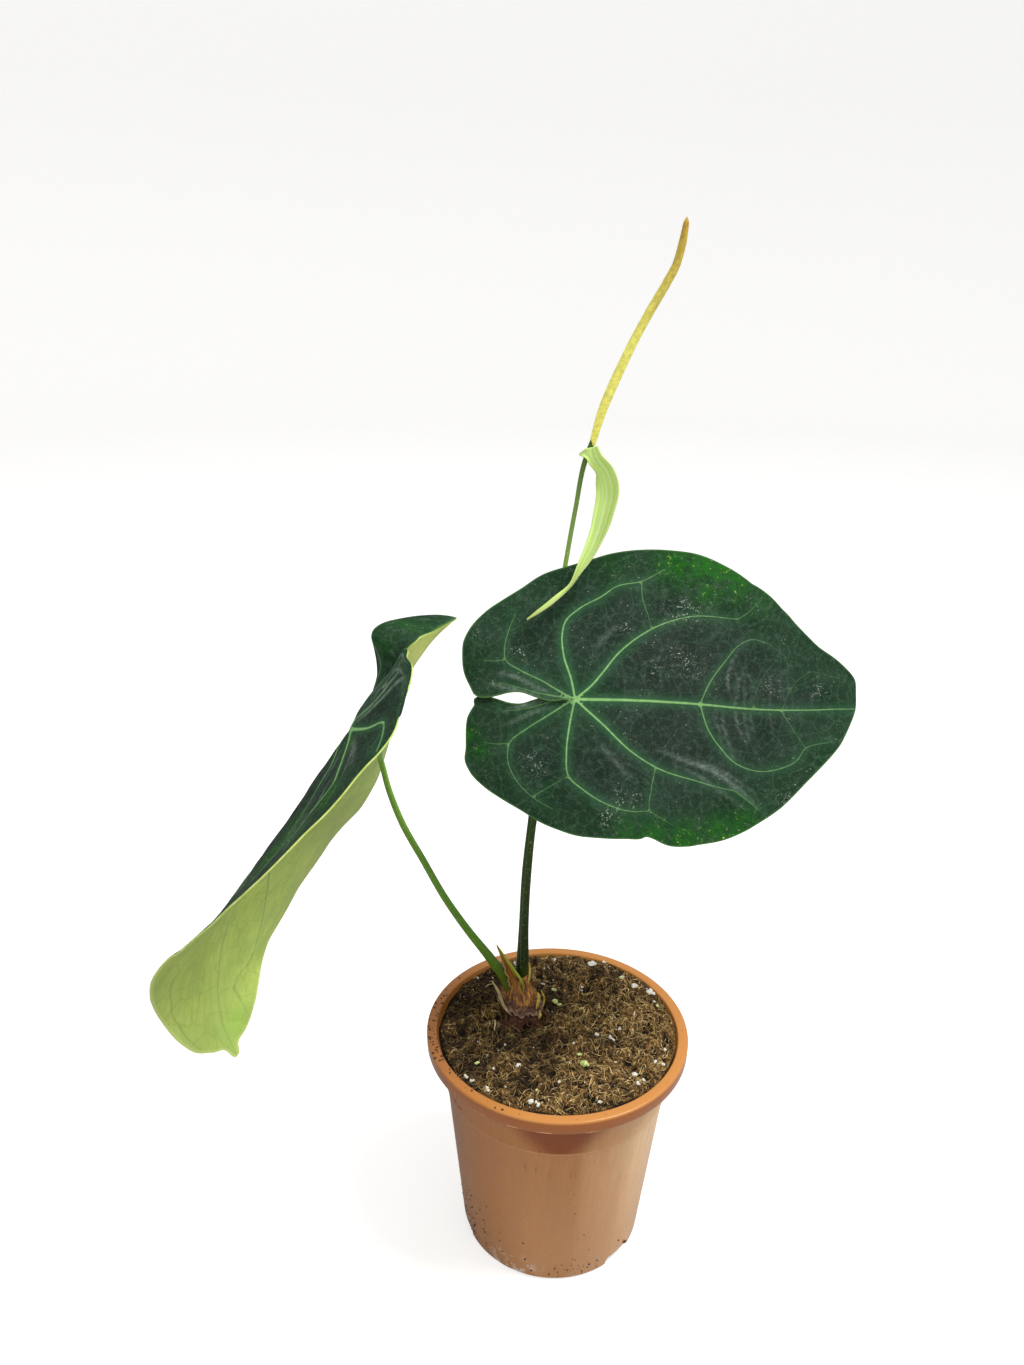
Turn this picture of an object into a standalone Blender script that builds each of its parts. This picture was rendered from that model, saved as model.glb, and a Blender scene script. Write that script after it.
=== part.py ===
"""Potted anthurium: a young velvet-leaved plant with two leaves and one bloom, in a plain nursery pot.

+Z up, -Y is the front, and the origin is the centre of the pot's flat foot.
Sizes are written in millimetres and times MM they are metres, which every mesh is made in.
"""

from math import cos, pi, radians, sin

import bmesh
import bpy
import numpy as np
from mathutils import Matrix, Vector
from mathutils.geometry import delaunay_2d_cdt

MM = 0.001
GAP = 0.3  # clear space between neighbours
SECTORS = 48  # sides of the pot and of the soil, which share their angles

# Pot
RIM_RADIUS = 60.0
POT_HEIGHT = 110.5
WALL_TOP_RADIUS = 53.4
BASE_RADIUS = 42.5
WALL = 1.2
FLOOR = 1.5
COLLAR_HEIGHT = 6.3
COLLAR_Z = POT_HEIGHT - COLLAR_HEIGHT
COLLAR_WALL = 1.2
RIM_INNER_RADIUS = 55.4
SHOULDER_Z = 94.5  # the wall steps out a little here, so that stacked pots part
SHOULDER_STEP = 0.5
NOTCH_WIDTH = 16.5
NOTCH_HEIGHT = 4.8
NOTCH_DEPTH = 8.0
NOTCH_CORNER = 2.2
NOTCH_HEADINGS = (-43.3, 76.7, 196.7)  # degrees from +X; the first faces front right

# Soil
SOIL_EDGE_Z = 107.3
SOIL_TILT = 0.035  # the soil lies higher at the back right
SOIL_TILT_HEADING = 50.0
SOIL_CROWN = 2.0  # rise from the wall to the middle
SOIL_RINGS = 11
LUMPS = (  # wavelength, height, heading in degrees, phase in degrees
    (31.0, 0.9, 20.0, 40.0),
    (23.0, 0.8, 77.0, 200.0),
    (17.0, 0.7, 131.0, 90.0),
    (12.5, 0.6, 52.0, 310.0),
    (10.5, 0.5, 163.0, 150.0),
)
HOLLOW_CENTRE = (-19.0, 11.0)  # round the stem, mostly on its left
HOLLOW_RADIUS = 13.0
HOLLOW_DEPTH = 4.8

# Stem base
STEM_FOOT = (-16.0, 12.5, 90.0)
STEM_COLLAR = (-15.8, 12.5, 109.0)
STEM_TOP = (-18.7, 13.2, 127.5)
STEM_ROOT_RADIUS = 5.0
STEM_SIDES = 20
SHEATHS = (  # height of the lower edge up the stem, radius there, radius at the top of the sheath
    (0.03, 8.3, 6.4),
    (0.36, 7.4, 5.9),
    (0.67, 6.6, 5.3),
)
SHEATH_STEP = 1.3  # how far a sheath's frayed edge stands out over the one below
FRAY = 0.05  # how unevenly the lower edges run, as a share of the stem's height
FOLDS = 0.05  # how far the sheaths' lower edges stand in and out, as a share of their radius
SOCKET_DEPTH = 0.5  # room under the foot of each stalk

# Stalks: route points, then the radius at the foot and at the far end
LEFT_PETIOLE_ROUTE = (
    (-21.6, 11.7, 117.0),
    (-23.4, 10.6, 126.0),
    (-31.0, 8.0, 141.0),
    (-40.6, 6.0, 156.5),
    (-50.5, 3.5, 174.5),
    (-60.5, -2.0, 199.0),
    (-68.5, -8.0, 220.5),
    (-72.8, -13.0, 238.0),
    (-75.0, -18.5, 254.0),
)
LEFT_PETIOLE_RADII = (1.9, 1.15)
RIGHT_PETIOLE_ROUTE = (
    (-16.2, 13.4, 117.0),
    (-15.6, 14.2, 128.0),
    (-15.8, 16.0, 151.5),
    (-14.7, 18.0, 182.5),
    (-12.7, 21.0, 206.5),
    (-8.5, 22.5, 232.0),
    (-3.0, 18.5, 254.0),
)
RIGHT_PETIOLE_RADII = (1.6, 1.2)
PEDUNCLE_ROUTE = (
    (-18.6, 17.1, 117.0),
    (-18.1, 18.0, 132.0),
    (-17.4, 20.0, 148.5),
    (-16.4, 23.0, 179.5),
    (-14.2, 26.0, 204.5),
    (-8.6, 31.5, 262.0),
    (-2.2, 36.0, 319.0),
    (1.3, 37.0, 343.5),
    (5.0, 38.0, 365.0),
    (7.3, 38.2, 371.0),
)
PEDUNCLE_RADII = (1.1, 0.95)
YOUNG_SHEATH_ROUTE = (
    (-18.2, 9.3, 119.5),
    (-19.6, 8.7, 128.0),
    (-22.6, 7.9, 137.0),
    (-25.8, 6.8, 144.5),
    (-28.6, 6.0, 150.0),
)
YOUNG_SHEATH_RADII = (1.55, 0.15)
STALK_POINTS = 22
BEND_LENGTH = 6.0  # last stretch of a petiole, square to the blade

# Spadix
SPADIX_ROUTE = (
    (7.5, 38.2, 371.5),
    (8.6, 38.3, 376.0),
    (11.0, 38.5, 384.5),
    (14.2, 38.7, 393.0),
    (17.8, 38.9, 401.5),
    (21.6, 39.0, 410.0),
    (27.4, 39.2, 421.5),
    (33.2, 39.4, 432.0),
    (36.4, 39.5, 438.5),
    (38.0, 39.6, 445.0),
    (39.4, 39.8, 455.5),
)
SPADIX_RADII = ((0.0, 1.35), (0.12, 1.6), (0.5, 1.55), (0.8, 1.25), (0.96, 1.0), (1.0, 0.5))
FLORET_ROWS = 72
FLORETS_ROUND = 5
FLORET_HEIGHT = 0.3

# Spathe
SPATHE_ROUTE = (
    (7.2, 36.1, 369.5),
    (8.2, 35.2, 365.5),
    (12.5, 33.5, 359.5),
    (14.6, 31.0, 353.3),
    (13.2, 27.0, 344.3),
    (10.0, 23.0, 334.5),
    (3.9, 18.5, 323.6),
    (0.0, 16.0, 317.6),
    (-8.0, 12.5, 311.1),
    (-18.0, 9.0, 304.7),
)
SPATHE_WIDTHS = (  # share of the length, half width
    (0.0, 2.4), (0.07, 4.0), (0.2, 4.8), (0.35, 4.5), (0.55, 3.9), (0.75, 3.0), (0.9, 1.7), (1.0, 0.35),
)
SPATHE_TURNS = (  # share of the length, degrees
    (0.0, 10.0), (0.15, 25.0), (0.4, 38.0), (0.62, 50.0), (0.72, 74.0), (0.8, 52.0), (1.0, 30.0),
)
SPATHE_CUP = 0.32  # rise of each edge as a share of the half width
SPATHE_THICKNESS = 0.7
SPATHE_RIBS = 3
SPATHE_RIB_HEIGHT = 0.12
SPATHE_ROWS = 28
SPATHE_COLUMNS = 8

# Blades: the flat outline of each half, as degrees from the midrib and distance from the junction
FREE_HALF = (
    (0, 131), (3, 121), (7, 112), (12, 105), (20, 99.2), (30, 93.8), (40, 88), (50, 81.3), (60, 74),
    (70, 67), (80, 61), (92, 56), (105, 53.5), (120, 51.5), (135, 51.5), (148, 51.2), (158, 49.5),
    (167, 45.5), (174, 42),
)
NOTCHED_HALF = (
    (0, 131), (3, 120.5), (7, 110), (12, 102), (20, 95), (30, 89.2), (40, 83.2), (50, 75.6), (57, 68.2),
    (61, 63.5), (65, 62), (72, 59.5), (82, 56.5), (95, 53), (107, 51), (120, 50), (135, 50.3),
    (148, 49.8), (158, 47.6), (167, 45), (174, 42),
)
LOBE_ANGLE = 174.0
SINUS = (  # between the lobes: distance behind the junction, half width of the slit
    (41, 2.2), (38.5, 0.9), (35, 0.6), (31, 1.2), (27, 2.3), (22, 2.6), (17, 1.6), (13, 0.7), (8, 0.5),
    (3.5, 0.4),
)
SINUS_ROOT = 1.8
VEINS = (  # rank, then distance from the junction and degrees from the midrib along the vein
    (1.0, ((0, 0), (10, 48), (18, 46.5), (28, 45), (42.5, 41.5), (60, 34.5), (77, 27.5))),
    (1.0, ((0, 0), (15, 104), (24.5, 101), (31.5, 96), (37, 87), (44, 74), (56, 61), (68, 53))),
    (0.8, ((0, 0), (20, 151), (32.5, 148), (36, 141), (42.5, 125), (41, 112), (35, 97))),
    (0.5, ((0, 0), (16.5, 165), (32, 168))),
    (0.8, ((50, 0), (55, 9), (65, 18), (76, 20.5), (87, 15), (95, 8), (106, 6), (119, 2.5))),
    (0.7, ((86, 0), (88, 4), (95, 8))),
    (0.5, ((77, 27.5), (86, 22), (93, 15), (101, 9), (106, 6))),
    (0.5, ((56, 61), (43, 47))),
    (0.4, ((68, 53), (74, 40), (77, 27.5))),
)
MIDRIB_REACH = 127.0
FINE_STEPS = 600  # along a half's edge before it is walked evenly
FIELD = ((-55.0, 145.0), (-75.0, 75.0))  # the flat area that a blade lies in, along and across
CLEAR_SHARE = 0.62  # how near an inner point may be to an edge or a vein, as a share of the spacing
ROW_SHARE = 0.87  # distance between rows of inner points, as a share of the spacing
BLADE_THICKNESS = 0.7
RIDGE_ABOVE = 0.25
RIDGE_BELOW = 0.5
BLADE_SPACING = 5.2  # of the points inside a blade
OUTLINE_SPACING = 4.4
VEIN_SPACING = 4.8
MARGIN_WAVES = 5
MARGIN_WAVE_HEIGHT = 1.1
LOBE_REACH = 9.0  # how far from the slit the lobes shift and lift

# Each blade: its midrib, and for each half the slope down at the midrib or slit, the slope it settles
# to, the distance over which it does so, and the further turn at 50 mm out, all in degrees by flat
# distance from the junction, which is negative behind it
RIGHT_BLADE = dict(
    midrib=(
        (-60, (-58.0, 0.3, 274.6)), (0, (2.0, 0.0, 274.2)), (25, (27.0, -0.1, 274.0)),
        (50, (52.0, -0.5, 273.2)), (71, (73.0, -1.2, 271.8)), (88, (90.0, -0.2, 271.4)),
        (106, (107.4, 3.9, 272.2)), (119, (117.3, 12.0, 272.8)), (131, (119.5, 23.5, 272.8)),
        (150, (118.0, 42.0, 272.0)),
    ),
    side=(0.0, 0.5, 0.866),
    roots=(((-60, 0), (150, 0)), ((-60, 0), (150, 0))),
    slopes=(((-60, 0), (0, 1), (150, 0)), ((-60, 0), (0, 1), (150, 0))),
    folds=(((-60, 5), (150, 5)), ((-60, 5), (150, 5))),
    turns=(((-60, 5), (0, 2), (60, 0), (150, 0)), ((-60, 5), (0, 2), (60, 0), (150, 0))),
    scale=1.0,
    fullness=0.0,
    overlap=((0, 0), (5, 0), (10, -1.2), (14, -0.9), (21, 0), (32, -0.6), (37, -1.3), (60, -1.3)),
    lift=1.1,
)
LEFT_BLADE = dict(
    midrib=(
        (-60, (-49.1, -37.5, 317.6)), (-30, (-63.8, -31.9, 303.7)), (-12, (-75.1, -33.9, 286.9)),
        (0, (-82.8, -36.2, 275.8)), (15, (-92.4, -38.9, 261.9)), (35, (-105.2, -42.7, 243.4)),
        (55, (-118.1, -47.4, 225.1)), (75, (-129.6, -52.9, 206.3)), (95, (-134.9, -60.3, 185.3)),
        (115, (-134.4, -63.9, 163.0)), (131, (-129.8, -63.6, 145.4)), (150, (-122.9, -63.3, 124.8)),
    ),
    side=(0.62, -0.78, 0.0),
    roots=(
        ((-45, -33), (-20, -45), (0, -51), (10, -51), (45, -46), (80, -59), (105, -73), (131, -82)),
        ((-45, 22), (-20, -30), (0, 51), (10, 51), (45, 46), (80, 59), (105, 73), (131, 82)),
    ),
    slopes=(
        ((-45, -15), (-20, -25), (10, -26), (45, -27), (80, -42), (105, -69), (120, -71), (131, -102)),
        ((-45, 91), (-20, 85), (10, 75), (45, 65), (80, 75), (105, 78), (120, 87), (131, 63)),
    ),
    folds=(((-60, 5), (150, 5)), ((-45, 24), (-20, 10.6), (0, 5), (150, 5))),
    turns=(
        ((-45, -10), (-20, 0), (40, -15), (110, -2)),
        ((-45, 60), (-20, -27), (40, -13), (110, -60)),
    ),
    scale=1.142,
    fullness=0.05,
    overlap=((0, 0), (60, 0)),
    lift=0.0,
)
FULL_ANGLE = 11.0  # where the left blade is fuller than the right one, near its tip
FULL_SPREAD = 12.0
FULL_START = 9.0  # the angle over which that grows from nothing at the tip


def smooth_curve(stations, at):
    """Values of the smooth curve through (position, value) stations, level beyond its ends."""
    place = np.array([s[0] for s in stations], float)
    value = np.array([s[1] for s in stations], float)
    at = np.clip(np.asarray(at, float), place[0], place[-1])
    slope = np.gradient(value, place, axis=0)
    i = np.clip(np.searchsorted(place, at, side="right") - 1, 0, len(place) - 2)
    span = place[i + 1] - place[i]
    t = (at - place[i]) / span
    if value.ndim > 1:
        t = t[..., None]
        span = span[..., None]
    start = (2 * t**3 - 3 * t**2 + 1) * value[i] + (t**3 - 2 * t**2 + t) * span * slope[i]
    return start + (3 * t**2 - 2 * t**3) * value[i + 1] + (t**3 - t**2) * span * slope[i + 1]


def smooth_route(points, count):
    """Evenly spaced points on the smooth curve through a route's points."""
    points = np.array(points, float)
    along = np.concatenate([[0.0], np.cumsum(np.linalg.norm(np.diff(points, axis=0), axis=1))])
    return smooth_curve(list(zip(along, points)), np.linspace(0.0, along[-1], count))


def unit(vectors):
    return vectors / np.linalg.norm(vectors, axis=-1, keepdims=True)


def route_frames(route, side):
    """Side and face at each point of a route; the side stays as near the given one as it can."""
    ahead = unit(np.gradient(route, axis=0))
    across = unit(side - ahead * (ahead * side).sum(axis=-1, keepdims=True))
    return across, np.cross(ahead, across)


def make_material(name, colour, roughness):
    """A Principled material from a colour written as hexadecimal sRGB."""
    parts = [int(colour[i : i + 2], 16) / 255 for i in (1, 3, 5)]
    linear = [c / 12.92 if c <= 0.04045 else ((c + 0.055) / 1.055) ** 2.4 for c in parts]
    material = bpy.data.materials.new(name)
    material.use_nodes = True
    shader = material.node_tree.nodes["Principled BSDF"]
    shader.inputs["Base Color"].default_value = (*linear, 1.0)
    shader.inputs["Roughness"].default_value = roughness
    shader.inputs["Metallic"].default_value = 0.0
    return material


def add_object(name, data, material=None):
    thing = bpy.data.objects.new(name, data)
    bpy.context.scene.collection.objects.link(thing)
    if material:
        thing.data.materials.append(material)
    return thing


def mesh_of(name, points, faces):
    """A smooth-shaded mesh from points in millimetres."""
    mesh = bpy.data.meshes.new(name)
    mesh.from_pydata([tuple(p) for p in np.asarray(points) * MM], [], faces)
    mesh.shade_smooth()
    mesh.set_sharp_from_angle(angle=radians(40))
    return mesh


def closed_rows(rows, count, far_cap=True):
    """Faces round a stack of rings with count points each, with a cap on the first and the last."""
    faces = [tuple(range(count - 1, -1, -1))]
    for row in range(rows - 1):
        for i in range(count):
            j = (i + 1) % count
            a = row * count
            faces.append((a + i, a + j, a + count + j, a + count + i))
    if far_cap:
        last = (rows - 1) * count
        faces.append(tuple(range(last, last + count)))
    return faces


def cut(thing, cutter):
    """Takes the cutter's shape out of the thing with a Boolean."""
    cutter.hide_render = True
    cutter.display_type = "WIRE"
    modifier = thing.modifiers.new("Cut " + cutter.name, "BOOLEAN")
    modifier.operation = "DIFFERENCE"
    modifier.object = cutter


def wall_radius(z):
    """Outer radius of the pot's wall at a height."""
    slope = (WALL_TOP_RADIUS - SHOULDER_STEP - BASE_RADIUS) / COLLAR_Z
    return BASE_RADIUS + slope * z + (SHOULDER_STEP if z > SHOULDER_Z else 0.0)


def pot_profile():
    """(radius, height) from the middle of the floor, up inside, over the rim and down outside."""
    top = POT_HEIGHT
    inner_step = SHOULDER_Z + 0.7
    return (
        (0.0, FLOOR),
        (wall_radius(FLOOR) - WALL - 1.0, FLOOR),
        (wall_radius(FLOOR) - WALL, FLOOR + 1.0),
        (wall_radius(SHOULDER_Z) - WALL, SHOULDER_Z),
        (wall_radius(inner_step) - WALL, inner_step),
        (wall_radius(COLLAR_Z) - WALL, COLLAR_Z - 0.6),
        (RIM_INNER_RADIUS - 1.2, COLLAR_Z + 2.4),
        (RIM_INNER_RADIUS - 0.2, top - 0.8),
        (RIM_INNER_RADIUS + 0.5, top),
        (RIM_RADIUS - 0.7, top),
        (RIM_RADIUS, top - 0.8),
        (RIM_RADIUS - 0.2, COLLAR_Z),
        (RIM_RADIUS - 0.2 - COLLAR_WALL, COLLAR_Z),
        (RIM_RADIUS - 0.2 - COLLAR_WALL, top - COLLAR_WALL - 0.4),
        (RIM_INNER_RADIUS + 0.2, top - COLLAR_WALL - 0.4),
        (wall_radius(COLLAR_Z) + 0.1, COLLAR_Z + 1.2),
        (wall_radius(COLLAR_Z), COLLAR_Z - 0.6),
        (wall_radius(inner_step), inner_step),
        (wall_radius(SHOULDER_Z), SHOULDER_Z),
        (wall_radius(2.0), 2.0),
        (BASE_RADIUS - 0.7, 0.4),
        (BASE_RADIUS - 1.8, 0.0),
        (0.0, 0.0),
    )


def inner_radius(z):
    """Radius of the pot's inner face at a height above its floor."""
    inside_points = pot_profile()[2:9]
    return float(np.interp(z, [p[1] for p in inside_points], [p[0] for p in inside_points]))


def add_pot():
    """A thin wall with a rolled collar, turned about the axis, and drainage notches at the foot."""
    profile = bpy.data.meshes.new("pot")
    points = [(r * MM, 0.0, z * MM) for r, z in pot_profile()]
    profile.from_pydata(points, [(i, i + 1) for i in range(len(points) - 1)], [])
    pot = add_object("pot", profile, make_material("Terracotta plastic", "#b8683c", 0.35))
    turn = pot.modifiers.new("Turn", "SCREW")
    turn.steps = SECTORS
    turn.render_steps = SECTORS
    turn.use_merge_vertices = True
    turn.merge_threshold = 0.00001
    for number, heading in enumerate(NOTCH_HEADINGS):
        shape = bmesh.new()
        size = Vector((NOTCH_DEPTH, NOTCH_WIDTH, 2 * NOTCH_HEIGHT)) * MM
        bmesh.ops.create_cube(shape, size=1.0, matrix=Matrix.Diagonal((*size, 1.0)))
        outward = [e for e in shape.edges if abs(e.verts[0].co.x - e.verts[1].co.x) > size.x / 2]
        bmesh.ops.bevel(
            shape, geom=outward, offset=NOTCH_CORNER * MM,
            segments=4, profile=0.5, affect="EDGES", material=-1,
        )
        mesh = bpy.data.meshes.new("notch")
        shape.to_mesh(mesh)
        shape.free()
        notch = add_object(f"notch_{number + 1}", mesh)
        turned = Matrix.Rotation(radians(heading), 4, "Z")
        notch.matrix_world = turned @ Matrix.Translation((BASE_RADIUS * MM, 0.0, 0.0))
        cut(pot, notch)
    return pot


def soil_edge(angle):
    """Height of the soil where it meets the pot, by the angle from +X."""
    return SOIL_EDGE_Z + SOIL_TILT * RIM_INNER_RADIUS * cos(angle - radians(SOIL_TILT_HEADING))


def soil_height(x, y):
    """Height of the soil's lumpy top."""
    heading = radians(SOIL_TILT_HEADING)
    inward = 1.0 - min(1.0, (x * x + y * y) / RIM_INNER_RADIUS**2)
    z = SOIL_EDGE_Z + SOIL_TILT * (x * cos(heading) + y * sin(heading)) + SOIL_CROWN * inward**0.6
    for length, height, heading, phase in LUMPS:
        along = x * cos(radians(heading)) + y * sin(radians(heading))
        z += height * inward**0.3 * sin(2 * pi * along / length + radians(phase))
    hollow = ((x - HOLLOW_CENTRE[0]) ** 2 + (y - HOLLOW_CENTRE[1]) ** 2) / HOLLOW_RADIUS**2
    return z - HOLLOW_DEPTH * np.exp(-hollow)


def add_soil():
    """A plug of peat inside the pot with a lumpy top and a plain hole for the stem."""
    lowest = soil_edge(radians(SOIL_TILT_HEADING + 180.0)) - 1.2
    rings = [
        (wall_radius(FLOOR) - WALL - 1.0 - GAP, FLOOR + GAP),
        (wall_radius(FLOOR) - WALL - GAP, FLOOR + 1.0 + GAP),
        (wall_radius(SHOULDER_Z) - WALL - GAP, SHOULDER_Z),
        (wall_radius(SHOULDER_Z + 0.7) - WALL - GAP, SHOULDER_Z + 0.9),
        (inner_radius(COLLAR_Z - 0.6) - GAP, COLLAR_Z - 0.6),
        (inner_radius(lowest) - GAP, lowest),
    ]
    points = []
    for radius, z in rings:
        points += [(radius * cos(a), radius * sin(a), z) for a in sector_angles()]
    for ring in range(SOIL_RINGS):
        for a in sector_angles():
            radius = (inner_radius(soil_edge(a) - 0.6) - GAP) * (1.0 - ring / SOIL_RINGS)
            x, y = radius * cos(a), radius * sin(a)
            points.append((x, y, soil_height(x, y)))
    count = len(rings) + SOIL_RINGS
    faces = closed_rows(count, SECTORS, far_cap=False)
    middle = len(points)
    points.append((0.0, 0.0, soil_height(0.0, 0.0)))
    last = (count - 1) * SECTORS
    faces += [(last + i, last + (i + 1) % SECTORS, middle) for i in range(SECTORS)]
    soil = add_object("soil", mesh_of("soil", points, faces), make_material("Peat", "#3a2a1e", 0.95))
    hole = bmesh.new()
    radius = (STEM_ROOT_RADIUS + GAP) * MM
    depth = 2 * (POT_HEIGHT - STEM_FOOT[2]) * MM
    bmesh.ops.create_cone(
        hole, cap_ends=True, segments=STEM_SIDES, depth=depth, radius1=radius, radius2=radius,
    )
    mesh = bpy.data.meshes.new("stem_hole")
    hole.to_mesh(mesh)
    hole.free()
    cutter = add_object("stem_hole", mesh)
    cutter.location = Vector(STEM_FOOT) * MM + Vector((0.0, 0.0, depth / 2 - GAP * MM))
    cut(soil, cutter)
    return soil


def sector_angles():
    return [2 * pi * i / SECTORS for i in range(SECTORS)]


def add_stem_base():
    """A short root in the soil and three dry sheaths over it, each with a frayed lower edge."""
    rows = [(STEM_FOOT[2], STEM_ROOT_RADIUS - 0.6, None), (STEM_FOOT[2] + 1.0, STEM_ROOT_RADIUS, None)]
    rows.append((STEM_COLLAR[2] - 1.2, STEM_ROOT_RADIUS, None))
    for number, (lower, flare, neck) in enumerate(SHEATHS):
        upper = SHEATHS[number + 1][0] if number + 1 < len(SHEATHS) else 1.0
        rows.append((lower, flare - SHEATH_STEP, number))
        rows.append((lower + 0.015, flare, number))
        rows.append((lower + 0.4 * (upper - lower), flare * 0.6 + neck * 0.4, None))
        rows.append((upper - 0.1, neck, None))
    rows.append((1.0, SHEATHS[-1][2] - 1.0, None))
    collar = np.array(STEM_COLLAR)
    top = np.array(STEM_TOP)
    points = []
    for height, radius, number in rows:
        for i in range(STEM_SIDES):
            a = 2 * pi * i / STEM_SIDES
            if height > 2.0:
                centre = np.array(STEM_FOOT) * [1, 1, 0] + [0, 0, height]
                points.append(centre + [radius * cos(a), radius * sin(a), 0.0])
                continue
            fray = 0.0
            folds = 1.0
            if number is not None:
                fray = FRAY * (sin(3 * a + 2.1 * number) + 0.6 * sin(7 * a + number))
                folds += FOLDS * sin(5 * a + 1.7 * number)
            centre = collar + (top - collar) * (height + fray)
            points.append(centre + [radius * folds * cos(a), radius * folds * sin(a), 0.0])
    faces = closed_rows(len(rows), STEM_SIDES)
    material = make_material("Dry sheath", "#7a4f2a", 0.8)
    return add_object("stem_base", mesh_of("stem_base", points, faces), material)


def stalk_curve(name, route, radii, extra=0.0):
    """A round stalk as a bevelled curve that tapers from its foot to its far end."""
    curve = bpy.data.curves.new(name, "CURVE")
    curve.dimensions = "3D"
    curve.bevel_depth = MM
    curve.bevel_resolution = 2
    curve.use_fill_caps = True
    spline = curve.splines.new("POLY")
    spline.points.add(len(route) - 1)
    for i, (point, place) in enumerate(zip(spline.points, route)):
        share = i / (len(route) - 1)
        point.co = (*(np.asarray(place) * MM), 1.0)
        point.radius = radii[0] * (1 - share) + radii[1] * share + extra
    return curve


def add_stalk(name, route, radii, material, stem_base):
    """A stalk, and a plain socket for its foot in the stem base."""
    route = smooth_route(route, STALK_POINTS)
    stalk = add_object(name, stalk_curve(name, route, radii), material)
    deeper = route[0] - unit(route[1] - route[0]) * SOCKET_DEPTH
    foot = np.vstack([deeper, route[: STALK_POINTS // 3]])
    curve = stalk_curve(name + "_socket", foot, (radii[0], radii[0]), GAP)
    helper = add_object("helper", curve)
    bpy.context.view_layer.update()
    mesh = bpy.data.meshes.new_from_object(helper.evaluated_get(bpy.context.evaluated_depsgraph_get()))
    bpy.data.objects.remove(helper)
    socket = bmesh.new()
    socket.from_mesh(mesh)
    bmesh.ops.remove_doubles(socket, verts=socket.verts, dist=0.001 * MM)
    socket.to_mesh(mesh)
    socket.free()
    cut(stem_base, add_object(name + "_socket", mesh))
    return stalk


def polar(distance, angle):
    angle = np.radians(angle)
    return np.stack([distance * np.cos(angle), distance * np.sin(angle)], axis=-1)


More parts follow.
